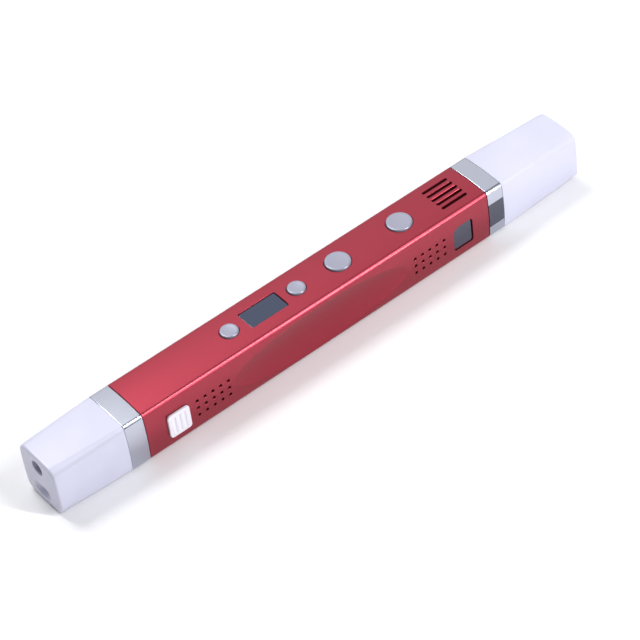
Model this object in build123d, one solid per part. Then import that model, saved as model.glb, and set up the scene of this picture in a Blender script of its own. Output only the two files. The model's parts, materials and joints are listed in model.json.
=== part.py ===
from build123d import *
import math
import os

# Three d pen. Lengths are in millimetres.
# While it is modelled, X runs from the rear end towards the nozzle, Z runs up to the face with the buttons,
# and Y = Z = 0 is the middle of the square tube. On writing, the part is moved so that its origin is
# at the middle of its underside.

# ---- the outside -------------------------------------------------------------------------------------
REAR_CAP_LENGTH = 22.0
REAR_RING_LENGTH = 5.6
BODY_LENGTH = 114.7
FRONT_RING_LENGTH = 5.2
FRONT_CAP_LENGTH = 27.5
PEN_WIDTH = 16.3            # over the crowned faces
PEN_HEIGHT = 17.0
FACE_CROWN = 0.45           # rise of each face in its middle
EDGE_RADIUS = 1.0           # long edges of the tube and rings
CAP_EDGE_RADIUS = 2.2       # long edges of the caps at their far ends
CAP_END_ROUNDING = 0.8
REAR_CAP_TAPER = 0.3        # taken off each side at the rear end
FRONT_CAP_TAPER = 0.45
BODY_WALL = 1.1
BODY_INNER_RADIUS = 0.5
CAP_WALL = 1.2
CAP_END_WALL = 2.4
RING_SEAM = 0.15            # dark line between the tube and each ring
CAP_SEAM = 0.06             # fine line between a ring and its cap
SLEEVE_WALL = 0.7
SLEEVE_CLEARANCE = 0.05
SLEEVE_REACH = 4.5          # of a ring's sleeve into its cap
BODY_SLEEVE_REACH = 4.2     # of a ring's sleeve into the tube
CAP_MOUTH_DEPTH = 5.2       # straight part of a cap's inside, over the sleeve

# ---- finger scoop in the side face -------------------------------------------------------------------
SCOOP_LENGTH = 60.0
SCOOP_CENTRE = 84.5
SCOOP_DEPTH = 1.4
SCOOP_HEIGHT = 15.8         # upright size on a flat face
SCOOP_ABOVE_BOTTOM = 8.05   # of the scoop's middle

# ---- controls on the top face ------------------------------------------------------------------------
SMALL_BUTTON_DIAMETER = 5.1
LARGE_BUTTON_DIAMETER = 7.2
BUTTON_GAP = 0.15           # all round, in its hole
BUTTON_PROUD = 0.5
BUTTON_ROUNDING = 0.4
BUTTON_FLANGE_LIP = 0.55
BUTTON_FLANGE_THICKNESS = 0.6
BUTTON_FLANGE_DROP = 0.35   # below the inside of the crown
BUTTON_TRAVEL = 0.35
SWITCH_GAP = 0.05           # left between a pressed button and its switch
SMALL_BUTTON_PLACES = {"temperature_down_button": 61.3, "temperature_up_button": 83.4}
LARGE_BUTTON_PLACES = {"retract_button": 97.3, "feed_button": 118.3}

WINDOW_CENTRE = 72.4
WINDOW_LENGTH = 12.0
WINDOW_WIDTH = 6.6
WINDOW_CORNER = 0.5
WINDOW_GAP = 0.08
WINDOW_RECESS = 0.3
WINDOW_FLANGE_LIP = 0.6
WINDOW_FLANGE_THICKNESS = 0.6

VENT_TO_FRONT_RING = 8.2    # middle of the slots behind the front ring
VENT_LENGTH = 8.7
VENT_WIDTH = 1.0
VENT_PITCH = 2.02
VENT_COUNT = 5

# ---- controls on the side face (-Y) ------------------------------------------------------------------
SIDE_ROW_Z = -0.65          # height of the side controls
REAR_GRID_CENTRE = 48.75
GRID_TO_FRONT_RING = 20.9
GRID_PITCH = 2.5
GRID_COLUMNS = 5
GRID_ROWS = 3
GRID_HOLE_DIAMETER = 0.95

SLIDER_CENTRE = 37.4
SLIDER_LENGTH = 6.8
SLIDER_HEIGHT = 7.7
SLIDER_THICKNESS = 0.6
SLIDER_CORNER = 1.0
SLIDER_GAP = 0.06           # between the plate and the crown of the face
SLIDER_GROOVE_RADIUS = 0.7
SLIDER_GROOVE_DEPTH = 0.2
SLIDER_GROOVE_PITCH = 1.6
SLIDER_STEM_LENGTH = 2.0
SLIDER_STEM_HEIGHT = 2.2
SLIDER_STEM_REACH = 1.5     # into the switch
SLIDER_TRAVEL = 1.2         # each way
SLIDER_SLOT_GAP = 0.15

LATCH_TO_FRONT_RING = 9.25
LATCH_LENGTH = 6.4
LATCH_HEIGHT = 7.7
LATCH_CORNER = 0.8
LATCH_REAR_TOP_CORNER = 2.2
LATCH_GAP = 0.15
LATCH_RECESS = 0.45
LATCH_FLANGE_LIP = 0.6
LATCH_FLANGE_THICKNESS = 0.7
LATCH_FLANGE_GAP = 0.1
LATCH_TRAVEL = 0.8
LATCH_TONGUE_LENGTH = 4.0
LATCH_TONGUE_THICKNESS = 0.9
LATCH_TONGUE_REACH = 1.6
LATCH_SPRING_DIAMETER = 3.0
LATCH_SPRING_WIRE = 0.35
LATCH_SPRING_TURNS = 3

INLAY_TOP = 3.7
INLAY_BOTTOM = -4.2
INLAY_DEPTH = 0.8
INLAY_GAP = 0.03

# ---- rear end: power socket and filament inlet -------------------------------------------------------
SOCKET_BELOW_BOARD = 0.4    # its axis below the board's upper face
SOCKET_MOUTH_RADIUS = 2.2
SOCKET_BORE_RADIUS = 1.78
SOCKET_BORE_DEPTH = 9.5
SOCKET_PIN_RADIUS = 0.65
SOCKET_PIN_SET_BACK = 1.0
SOCKET_WIDTH = 5.0
SOCKET_HEIGHT = 4.4
SOCKET_LENGTH = 11.0
SOCKET_GAP = 0.1            # behind the end wall
INLET_ABOVE_BOTTOM = 4.3
INLET_WIDTH = 7.4
INLET_HEIGHT = 4.6
INLET_DEPTH = 1.6
INLET_SLACK = 0.325         # round the filament in the throat
INLET_THROAT_LENGTH = 2.4
INLET_BOSS_WALL = 0.75      # round the guide tube's end
INLET_BOSS_HOLD = 2.0       # length of the guide tube's end in the boss

# ---- filament path and drive -------------------------------------------------------------------------
FILAMENT_DIAMETER = 1.75
FILAMENT_ABOVE_BLOCK = 3.5  # its line above the underside of the feed block
TUBE_SLACK = 0.125          # round the filament
TUBE_WALL = 0.5
TUBE_FIT = 0.05
REAR_TUBE_TO_DRIVE = 3.4    # its end behind the feed wheel's axis
FRONT_TUBE_TO_DRIVE = 3.2   # its start ahead of the feed wheel's axis

MOTOR_Y = -2.7
MOTOR_RADIUS = 3.0
MOTOR_CAN_LENGTH = 14.0
MOTOR_CAP_LENGTH = 1.6
GEARBOX_LENGTH = 12.0
GEARBOX_RIDGE = 0.12        # height of the ridges
GEARBOX_RIDGE_WIDTH = 1.2
GEARBOX_RIDGE_PITCH = 4.2
GEARBOX_RIDGE_COUNT = 3
SHAFT_RADIUS = 0.75
SHAFT_HELD = 2.0            # length of the shaft inside the gearbox
SHAFT_RUNNING_FIT = 0.05

GEAR_MODULE = 0.5
WHEEL_TEETH = 14
WHEEL_THICKNESS = 2.4
WORM_PITCH_RADIUS = 1.9
WORM_LENGTH = 8.0
TOOTH_DEPTH_ABOVE = 0.4     # outside each pitch circle
TOOTH_DEPTH_BELOW = 0.62
THREAD_SHARE = 0.36         # of the pitch that the worm's thread takes
THREAD_FLANK_SHARE = 0.05   # of the pitch that each of its flanks takes
TOOTH_ROOT_SHARE = 0.248    # of the pitch, for half a wheel's tooth at its root
TOOTH_TIP_SHARE = 0.152
TOOTH_SINK = 0.2            # of a tooth into the wheel's rim
FEED_WHEEL_WIDTH = 2.6
FEED_WHEEL_BITE = 0.1
FEED_WHEEL_KNURLS = 20
FEED_KNURL_RADIUS = 0.2
AXLE_RADIUS = 0.75

BLOCK_LENGTH = 13.2
BLOCK_TO_HOLDER = 1.4
BLOCK_TO_DRIVE = 6.2        # the feed wheel's axis from the block's rear face
BLOCK_SIDE_GAP = 0.4        # to the corners of the tube's crowned inside
BLOCK_FLOOR_GAP = 0.7       # to the middle of the tube's crowned floor
BLOCK_FLOOR_THICKNESS = 0.8
BLOCK_TOP_GAP = 0.1         # to the board
BLOCK_TOP_THICKNESS = 0.6
BLOCK_WALL = 1.0
BLOCK_SIDE_WALL = 0.5
BLOCK_SIDE_WALL_RISE = 5.2

IDLER_REST_GAP = 1.4        # between feed wheel and idler with no filament in
BEARING_RADIUS = 2.0
BEARING_WIDTH = 2.0
BEARING_PIN_RADIUS = 0.5
BEARING_FIT = 0.04
ARM_THICKNESS = 0.9
ARM_GAP = 0.1
ARM_WIDTH = 2.4
ARM_PIVOT_AHEAD = 4.8       # of the roller's axis
ARM_PIVOT_Y = -4.4
ARM_TAIL_BEHIND = 3.6
ARM_PIVOT_PIN_RADIUS = 0.5
PIN_HEAD_RADIUS = 1.0
PIN_HEAD_HEIGHT = 0.26
SPRING_DIAMETER = 1.8
SPRING_WIRE = 0.3
SPRING_TURNS = 3

# ---- nozzle module -----------------------------------------------------------------------------------
HOLDER_LENGTH = 22.1
HOLDER_PROUD = 4.0          # of the front ring, inside the cap
HOLDER_SIDE_GAP = 0.4       # to the ring's sleeve in the middle of each side
HOLDER_TOP_GAP = 0.45
HOLDER_CORNER = 1.4
HOLDER_POCKET_DEPTH = 2.6
HOLDER_POCKET_MARGIN = 0.8
LEAD_SLOT_LENGTH = 3.0      # opening for the leads at the holder's front
LEAD_CHANNEL = 1.2          # half width of the leads' channel
HEATER_TUBE_WALL = 0.5
HEATER_TUBE_PROUD = 10.5    # of the holder
HEATER_BEHIND = 10.0        # start of the heating sleeve behind the holder's front
HEATER_PROUD = 7.0
HEATER_WALL = 0.5
HEATER_CAVITY_GAP = 0.75    # round the heating sleeve
HEATER_CAVITY_MARGIN = 1.0  # behind it
SHIELD_WALL = 0.35
SHIELD_END_GAP = 0.35       # between the shield's small end and the heating sleeve
SHIELD_LENGTH = 9.5
NOZZLE_GAP = 0.1
NOZZLE_LENGTH = 7.2
NOZZLE_WALL = 0.9
NOZZLE_TIP_RADIUS = 0.8
NOZZLE_CYLINDER = 2.6
NOZZLE_BORE = 0.3
SENSOR_RADIUS = 0.3
SENSOR_LENGTH = 2.2
SENSOR_AHEAD = 1.9          # of the holder's front

# ---- board, display and frame ------------------------------------------------------------------------
BOARD_START = 5.0
BOARD_TO_HOLDER = 2.2
BOARD_SIDE_GAP = 0.2        # to each edge of the frame
BOARD_THICKNESS = 1.0
BOARD_NOTCH_GAP = 0.05
SWITCH_SIZE = 4.5
SWITCH_HEIGHT = 1.2
DOME_RADIUS = 1.1
DOME_HEIGHT = 0.25
DISPLAY_LENGTH = 13.0
DISPLAY_WIDTH = 9.2
DISPLAY_THICKNESS = 1.1
FLEX_THICKNESS = 0.15
FLEX_WIDTH = 6.0
FLEX_REACH = 1.0
CHIP_PLACES = [(29.0, 0.0, 4.4, 4.4, 1.0), (40.0, 0.6, 5.0, 4.0, 1.2), (49.0, -1.6, 3.0, 2.6, 1.4),
               (49.0, 2.2, 2.0, 1.6, 0.8), (107.8, 0.0, 5.0, 5.0, 0.9)]

FRAME_START = 17.0
FRAME_TO_BLOCK = 0.2
FRAME_SIDE_GAP = 0.35       # to the corners of the ring's crowned sleeve
FRAME_FLOOR_GAP = 0.15
FRAME_FLOOR_THICKNESS = 0.7
FRAME_RAIL = 0.8
FRAME_RIB = 1.2
FRAME_RIB_HEIGHT = 4.45
FRAME_RIB_PLACES = [24.0, 52.0, 68.0, 80.0]
FRAME_BOSS_LENGTH = 3.0
FRAME_BOSS_WIDTH = 2.6
FRAME_BOSS_DEPTH = 4.0
SCREW_PLACES = [(20.0, 1), (20.0, -1), (54.0, 1), (104.0, 1)]    # station and side
SCREW_INSET = 1.5           # from the frame's edge
SCREW_SHANK_RADIUS = 0.5
SCREW_SHANK_LENGTH = 4.0
SCREW_HEAD_RADIUS = 1.0
SCREW_HEAD_HEIGHT = 0.6
MOTOR_BAY_GAP = 0.2         # between the frame and the motor

SPEED_SWITCH_LENGTH = 9.0
SPEED_SWITCH_HEIGHT = 5.2
SPEED_SWITCH_INSET = 1.55   # its outer face from the side face
SPEED_SWITCH_DEPTH = 3.2
SPEED_SWITCH_GROOVE_GAP = 0.2
SPEED_SWITCH_BAY_GAP = 0.1

LEAD_RADIUS = 0.4
LEAD_BEND = 1.3
MOTOR_TERMINAL = 1.2        # each side of the motor's axis
MOTOR_LEAD_REACH = 3.2      # behind the motor
HEATER_LEAD_HALF_PITCH = 0.6
HEATER_LEAD_PAD = 2.0       # length that lies on the board
HEATER_LEAD_SET_BACK = 1.4  # of their drop, from the holder's front

# ---- stations along the pen, worked out from the lengths ---------------------------------------------
REAR_RING_X = REAR_CAP_LENGTH
BODY_X = REAR_RING_X + REAR_RING_LENGTH
FRONT_RING_X = BODY_X + BODY_LENGTH
FRONT_CAP_X = FRONT_RING_X + FRONT_RING_LENGTH
PEN_LENGTH = FRONT_CAP_X + FRONT_CAP_LENGTH

TOP = PEN_HEIGHT / 2
SIDE = PEN_WIDTH / 2
INNER_TOP = TOP - BODY_WALL
INNER_SIDE = SIDE - BODY_WALL
SLEEVE_INSET = BODY_WALL + SLEEVE_CLEARANCE + SLEEVE_WALL
SCOOP_ROW_Z = SCOOP_ABOVE_BOTTOM - TOP
VENT_CENTRE = FRONT_RING_X - VENT_TO_FRONT_RING
LATCH_CENTRE = FRONT_RING_X - LATCH_TO_FRONT_RING
GRID_CENTRES = [REAR_GRID_CENTRE, FRONT_RING_X - GRID_TO_FRONT_RING]

FLANGE_TOP = INNER_TOP - BUTTON_FLANGE_DROP
DOME_TOP = FLANGE_TOP - BUTTON_FLANGE_THICKNESS - BUTTON_TRAVEL - SWITCH_GAP
BOARD_TOP = DOME_TOP - DOME_HEIGHT - SWITCH_HEIGHT
BOARD_UNDERSIDE = BOARD_TOP - BOARD_THICKNESS
DISPLAY_TOP = FLANGE_TOP - WINDOW_FLANGE_THICKNESS
DISPLAY_BOTTOM = DISPLAY_TOP - DISPLAY_THICKNESS
SOCKET_Z = BOARD_TOP - SOCKET_BELOW_BOARD
SOCKET_START = CAP_END_WALL + SOCKET_GAP
SPEED_SWITCH_OUTER = SIDE - SPEED_SWITCH_INSET

HOLDER_END = FRONT_CAP_X + HOLDER_PROUD
HOLDER_START = HOLDER_END - HOLDER_LENGTH
HOLDER_HALF_WIDTH = SIDE - SLEEVE_INSET - HOLDER_SIDE_GAP
HOLDER_HALF_HEIGHT = TOP - SLEEVE_INSET - HOLDER_TOP_GAP
HEATER_TUBE_BORE = FILAMENT_DIAMETER / 2 + TUBE_SLACK
HEATER_TUBE_RADIUS = HEATER_TUBE_BORE + HEATER_TUBE_WALL
HEATER_TUBE_END = HOLDER_END + HEATER_TUBE_PROUD
HEATER_START = HOLDER_END - HEATER_BEHIND
HEATER_END = HOLDER_END + HEATER_PROUD
HEATER_RADIUS = HEATER_TUBE_RADIUS + HEATER_WALL
HEATER_CAVITY_RADIUS = HEATER_RADIUS + HEATER_CAVITY_GAP
SHIELD_END = HOLDER_END + SHIELD_LENGTH
SHIELD_START_RADIUS = HEATER_CAVITY_RADIUS + SHIELD_WALL
SHIELD_END_RADIUS = HEATER_RADIUS + SHIELD_END_GAP + SHIELD_WALL
NOZZLE_START = SHIELD_END + NOZZLE_GAP
NOZZLE_END = NOZZLE_START + NOZZLE_LENGTH
NOZZLE_BASE_RADIUS = HEATER_TUBE_RADIUS + NOZZLE_WALL
SENSOR_X = HOLDER_END + SENSOR_AHEAD

BLOCK_END = HOLDER_START - BLOCK_TO_HOLDER
BLOCK_START = BLOCK_END - BLOCK_LENGTH
BLOCK_HALF_WIDTH = INNER_SIDE - FACE_CROWN - BLOCK_SIDE_GAP
BLOCK_FLOOR_Z = BLOCK_FLOOR_GAP - INNER_TOP
BLOCK_FLOOR_TOP = BLOCK_FLOOR_Z + BLOCK_FLOOR_THICKNESS
BLOCK_TOP_Z = BOARD_UNDERSIDE - BLOCK_TOP_GAP
DRIVE_CENTRE = BLOCK_START + BLOCK_TO_DRIVE
FILAMENT_Z = BLOCK_FLOOR_Z + FILAMENT_ABOVE_BLOCK
INLET_Z = INLET_ABOVE_BOTTOM - TOP
INLET_THROAT_RADIUS = FILAMENT_DIAMETER / 2 + INLET_SLACK
INLET_THROAT_END = INLET_DEPTH + INLET_THROAT_LENGTH
TUBE_BORE_RADIUS = FILAMENT_DIAMETER / 2 + TUBE_SLACK
TUBE_RADIUS = TUBE_BORE_RADIUS + TUBE_WALL
INLET_BOSS_RADIUS = TUBE_RADIUS + TUBE_FIT + INLET_BOSS_WALL

MOTOR_Z = BLOCK_TOP_Z - MOTOR_RADIUS
GEARBOX_START = BLOCK_START - GEARBOX_LENGTH
MOTOR_START = GEARBOX_START - MOTOR_CAN_LENGTH
MOTOR_REAR = MOTOR_START - MOTOR_CAP_LENGTH
WHEEL_PITCH_RADIUS = GEAR_MODULE * WHEEL_TEETH / 2
WHEEL_Y = MOTOR_Y + WORM_PITCH_RADIUS + WHEEL_PITCH_RADIUS
WORM_PITCH = math.pi * GEAR_MODULE
FEED_WHEEL_RADIUS = WHEEL_Y - FILAMENT_DIAMETER / 2 + FEED_WHEEL_BITE
IDLER_Y = WHEEL_Y - FEED_WHEEL_RADIUS - IDLER_REST_GAP - BEARING_RADIUS
ARM_PIVOT_X = DRIVE_CENTRE + ARM_PIVOT_AHEAD
ARM_TAIL_X = DRIVE_CENTRE - ARM_TAIL_BEHIND
BEARING_BOTTOM = FILAMENT_Z - BEARING_WIDTH / 2
BEARING_TOP = FILAMENT_Z + BEARING_WIDTH / 2
ARM_TOP = BEARING_BOTTOM - ARM_GAP
ARM_BOTTOM = ARM_TOP - ARM_THICKNESS

FRAME_END = BLOCK_START - FRAME_TO_BLOCK
FRAME_HALF_WIDTH = SIDE - SLEEVE_INSET - FACE_CROWN - FRAME_SIDE_GAP
FRAME_FLOOR_Z = SLEEVE_INSET + FACE_CROWN + FRAME_FLOOR_GAP - TOP
BOARD_END = HOLDER_START - BOARD_TO_HOLDER
BOARD_HALF_WIDTH = FRAME_HALF_WIDTH - BOARD_SIDE_GAP
SCREW_Y = FRAME_HALF_WIDTH - SCREW_INSET

PLACE = Pos(-PEN_LENGTH / 2, 0, PEN_HEIGHT / 2)
TINY = 0.001
OVER = 1.0                  # how far a cutter runs past a face
FAR = 2 * max(TOP, SIDE)    # well outside the pen


# ---- shapes used more than once ----------------------------------------------------------------------
def block(x, y, z):
    """Box between pairs of limits along X, Y and Z."""
    size = Box(x[1] - x[0], y[1] - y[0], z[1] - z[0])
    return Pos((x[0] + x[1]) / 2, (y[0] + y[1]) / 2, (z[0] + z[1]) / 2) * size


def rod_x(x, y, z, radius):
    """Round bar along the pen between two stations."""
    return Pos((x[0] + x[1]) / 2, y, z) * Rot(0, 90, 0) * Cylinder(radius, x[1] - x[0])


def rod_y(x, y, z, radius):
    """Round bar across the pen between two limits in Y."""
    return Pos(x, (y[0] + y[1]) / 2, z) * Rot(90, 0, 0) * Cylinder(radius, y[1] - y[0])


def rod_z(x, y, z, radius):
    """Upright round bar between two heights."""
    return Pos(x, y, (z[0] + z[1]) / 2) * Cylinder(radius, z[1] - z[0])


def outline(x, inset, radius):
    """Square outline with crowned sides across the pen at a station, set in from the outside."""
    half_y = SIDE - inset
    half_z = TOP - inset
    corner_y = half_y - FACE_CROWN
    corner_z = half_z - FACE_CROWN
    right = ThreePointArc((corner_y, -corner_z), (half_y, 0), (corner_y, corner_z))
    over = ThreePointArc((corner_y, corner_z), (0, half_z), (-corner_y, corner_z))
    left = ThreePointArc((-corner_y, corner_z), (-half_y, 0), (-corner_y, -corner_z))
    under = ThreePointArc((-corner_y, -corner_z), (0, -half_z), (corner_y, -corner_z))
    face = make_face([right, over, left, under])
    face = fillet(face.vertices(), radius)
    return Plane(origin=(x, 0, 0), x_dir=(0, 1, 0), z_dir=(1, 0, 0)) * face


def prism(start, end, inset, radius):
    """Straight length of the pen's outline."""
    return extrude(outline(start, inset, radius), amount=end - start)


def taper(start, end, inset, radius):
    """Length of the pen whose inset and edge radius change evenly from one station to the other."""
    return loft([outline(start, inset[0], radius[0]), outline(end, inset[1], radius[1])])


def coil(x, y, z, radius, wire, turns):
    """Round-wire compression spring along Y between two limits."""
    free = y[1] - y[0] - wire
    path = Helix(pitch=free / turns, height=free, radius=radius - wire / 2)
    start = Plane(origin=path @ 0, z_dir=path % 0)
    spring = sweep(start * Circle(wire / 2), path=path, is_frenet=True)
    return Pos(x, y[0] + wire / 2, z) * Rot(-90, 0, 0) * spring


def window_prism(length, height, corner, rear_top_corner, y):
    """Upright plate across Y with three equal corners and one larger corner at the rear top."""
    face = Rectangle(length, height)
    face = fillet(face.vertices().sort_by(lambda v: v.X - v.Y)[0], rear_top_corner)
    sharp = [v for v in face.vertices() if abs(v.X) + abs(v.Y) > (length + height) / 2 - TINY]
    face = fillet(sharp, corner)
    upright = Plane(origin=(0, y[1], 0), x_dir=(1, 0, 0), z_dir=(0, -1, 0)) * face
    return extrude(upright, amount=y[1] - y[0])


# ---- casing ------------------------------------------------------------------------------------------
def scoop_cutter(grow):
    """Long spindle that hollows the side face, deepest in its middle."""
    half = SCOOP_LENGTH / 2
    girth = ((SCOOP_HEIGHT / 2) ** 2 + SCOOP_DEPTH ** 2) / (2 * SCOOP_DEPTH)
    bow = (half ** 2 + SCOOP_DEPTH ** 2) / (2 * SCOOP_DEPTH)
    crest = SCOOP_DEPTH - SIDE
    axis_y = crest - girth
    tall = girth + grow + 1
    strip = Pos(0, axis_y + tall / 2) * Rectangle(SCOOP_LENGTH * 2, tall)
    profile = strip & Pos(0, crest - bow) * Circle(bow + grow)
    spindle = revolve(profile, Axis((0, axis_y, 0), (1, 0, 0)), 360)
    return Pos(SCOOP_CENTRE, 0, SCOOP_ROW_Z) * spindle


def body_shell():
    """Square aluminium tube with every opening that the controls need."""
    start = BODY_X + RING_SEAM
    end = FRONT_RING_X - RING_SEAM
    hollow = prism(start - OVER, end + OVER, BODY_WALL, BODY_INNER_RADIUS) - scoop_cutter(BODY_WALL)
    shell = prism(start, end, 0, EDGE_RADIUS) - scoop_cutter(0) - hollow
    for place in SMALL_BUTTON_PLACES.values():
        shell -= rod_z(place, 0, (0, FAR), SMALL_BUTTON_DIAMETER / 2 + BUTTON_GAP)
    for place in LARGE_BUTTON_PLACES.values():
        shell -= rod_z(place, 0, (0, FAR), LARGE_BUTTON_DIAMETER / 2 + BUTTON_GAP)
    opening = RectangleRounded(WINDOW_LENGTH, WINDOW_WIDTH, WINDOW_CORNER)
    shell -= Pos(WINDOW_CENTRE, 0, 0) * extrude(opening, amount=FAR)
    for index in range(VENT_COUNT):
        offset = (index - (VENT_COUNT - 1) / 2) * VENT_PITCH
        slot = extrude(SlotOverall(VENT_LENGTH, VENT_WIDTH), amount=FAR)
        shell -= Pos(VENT_CENTRE, offset, 0) * slot
    for centre in GRID_CENTRES:
        for column in range(GRID_COLUMNS):
            for row in range(GRID_ROWS):
                x = centre + (column - (GRID_COLUMNS - 1) / 2) * GRID_PITCH
                z = SIDE_ROW_Z + (row - (GRID_ROWS - 1) / 2) * GRID_PITCH
                shell -= rod_y(x, (-FAR, 0), z, GRID_HOLE_DIAMETER / 2)
    half_slot = SLIDER_STEM_LENGTH / 2 + SLIDER_TRAVEL + SLIDER_SLOT_GAP
    half_height = SLIDER_STEM_HEIGHT / 2 + SLIDER_SLOT_GAP
    shell -= block((SLIDER_CENTRE - half_slot, SLIDER_CENTRE + half_slot), (-FAR, 0),
                   (SIDE_ROW_Z - half_height, SIDE_ROW_Z + half_height))
    opening = window_prism(LATCH_LENGTH + 2 * LATCH_GAP, LATCH_HEIGHT + 2 * LATCH_GAP,
                           LATCH_CORNER + LATCH_GAP, LATCH_REAR_TOP_CORNER + LATCH_GAP, (-FAR, 0))
    return shell - Pos(LATCH_CENTRE, 0, SIDE_ROW_Z) * opening


def rear_ring():
    """Bright band with sleeves that join the rear cap to the tube."""
    band = prism(REAR_RING_X, BODY_X, 0, EDGE_RADIUS)
    cap_sleeve = prism(REAR_RING_X - SLEEVE_REACH, REAR_RING_X, CAP_WALL + SLEEVE_CLEARANCE, EDGE_RADIUS)
    body_sleeve = prism(BODY_X, BODY_X + BODY_SLEEVE_REACH, BODY_WALL + SLEEVE_CLEARANCE, EDGE_RADIUS)
    through = prism(REAR_RING_X - SLEEVE_REACH - OVER, BODY_X + BODY_SLEEVE_REACH + OVER,
                    SLEEVE_INSET, EDGE_RADIUS)
    return band + cap_sleeve + body_sleeve - through


def front_ring():
    """Bright band with a side recess for the inlay, a sleeve into the tube and a spigot for the cap."""
    band = prism(FRONT_RING_X, FRONT_CAP_X, 0, EDGE_RADIUS)
    recess = (FRONT_RING_X - OVER, FRONT_CAP_X + OVER)
    band -= block(recess, (-FAR, -SIDE + INLAY_DEPTH), (INLAY_BOTTOM, INLAY_TOP))
    body_sleeve = prism(FRONT_RING_X - BODY_SLEEVE_REACH, FRONT_RING_X,
                        BODY_WALL + SLEEVE_CLEARANCE, EDGE_RADIUS)
    spigot = prism(FRONT_CAP_X, FRONT_CAP_X + SLEEVE_REACH, CAP_WALL + SLEEVE_CLEARANCE, EDGE_RADIUS)
    through = prism(FRONT_RING_X - BODY_SLEEVE_REACH - OVER, FRONT_CAP_X + SLEEVE_REACH + OVER,
                    SLEEVE_INSET, EDGE_RADIUS)
    return band + body_sleeve + spigot - through


def front_ring_inlay():
    """Black strip let into the side of the front ring."""
    band = prism(FRONT_RING_X, FRONT_CAP_X, 0, EDGE_RADIUS)
    strip = block((FRONT_RING_X, FRONT_CAP_X), (-FAR, -SIDE + INLAY_DEPTH - INLAY_GAP),
                  (INLAY_BOTTOM + INLAY_GAP, INLAY_TOP - INLAY_GAP))
    return band & strip


def rear_cap():
    """White end cap with the power socket's mouth and the filament funnel."""
    seam_x = REAR_RING_X - CAP_SEAM
    cap = taper(0, seam_x, (REAR_CAP_TAPER, 0), (CAP_EDGE_RADIUS, EDGE_RADIUS))
    cap = fillet(cap.faces().sort_by(Axis.X)[0].edges(), CAP_END_ROUNDING)
    mouth_x = REAR_RING_X - CAP_MOUTH_DEPTH
    cap -= prism(mouth_x, seam_x + OVER, CAP_WALL, EDGE_RADIUS)
    cap -= taper(CAP_END_WALL, mouth_x, (REAR_CAP_TAPER + CAP_WALL, CAP_WALL), (CAP_EDGE_RADIUS, EDGE_RADIUS))
    boss_end = INLET_THROAT_END + INLET_BOSS_HOLD
    cap += rod_x((CAP_END_WALL / 2, boss_end), 0, INLET_Z, INLET_BOSS_RADIUS)
    cap -= rod_x((-OVER, CAP_END_WALL + OVER), 0, SOCKET_Z, SOCKET_MOUTH_RADIUS)
    across = Plane(origin=(0, 0, INLET_Z), x_dir=(0, 1, 0), z_dir=(1, 0, 0))
    mouth = across * Ellipse(INLET_WIDTH / 2, INLET_HEIGHT / 2)
    throat = across.offset(INLET_DEPTH) * Circle(INLET_THROAT_RADIUS)
    cap -= loft([mouth, throat])
    cap -= rod_x((INLET_DEPTH, INLET_THROAT_END + OVER), 0, INLET_Z, INLET_THROAT_RADIUS)
    return cap - rod_x((INLET_THROAT_END, boss_end + OVER), 0, INLET_Z, TUBE_RADIUS + TUBE_FIT)


def front_cap():
    """White cap that pushes over the front ring's spigot and covers the nozzle."""
    start = FRONT_CAP_X + CAP_SEAM
    cap = taper(start, PEN_LENGTH, (0, FRONT_CAP_TAPER), (EDGE_RADIUS, CAP_EDGE_RADIUS))
    cap = fillet(cap.faces().sort_by(Axis.X)[-1].edges(), CAP_END_ROUNDING)
    mouth_x = FRONT_CAP_X + CAP_MOUTH_DEPTH
    cap -= prism(start - OVER, mouth_x, CAP_WALL, EDGE_RADIUS)
    inner_end = PEN_LENGTH - CAP_WALL
    return cap - taper(mouth_x, inner_end, (CAP_WALL, CAP_WALL + FRONT_CAP_TAPER),
                       (EDGE_RADIUS, CAP_EDGE_RADIUS))


# ---- controls ----------------------------------------------------------------------------------------
def button(place, diameter):
    """Round push button with a flange behind the wall."""
    flange = rod_z(place, 0, (FLANGE_TOP - BUTTON_FLANGE_THICKNESS, FLANGE_TOP),
                   diameter / 2 + BUTTON_FLANGE_LIP)
    head = rod_z(place, 0, (FLANGE_TOP, TOP + BUTTON_PROUD), diameter / 2)
    head = fillet(head.faces().sort_by(Axis.Z)[-1].edges(), BUTTON_ROUNDING)
    return head + flange


def display_window():
    """Dark lens in the display opening, held by a flange behind the wall."""
    lens = RectangleRounded(WINDOW_LENGTH - 2 * WINDOW_GAP, WINDOW_WIDTH - 2 * WINDOW_GAP,
                            WINDOW_CORNER - WINDOW_GAP)
    flange = Rectangle(WINDOW_LENGTH + 2 * WINDOW_FLANGE_LIP, WINDOW_WIDTH + 2 * WINDOW_FLANGE_LIP)
    raised = Pos(WINDOW_CENTRE, 0, FLANGE_TOP) * extrude(lens, amount=TOP - WINDOW_RECESS - FLANGE_TOP)
    return raised + Pos(WINDOW_CENTRE, 0, DISPLAY_TOP) * extrude(flange, amount=WINDOW_FLANGE_THICKNESS)


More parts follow.
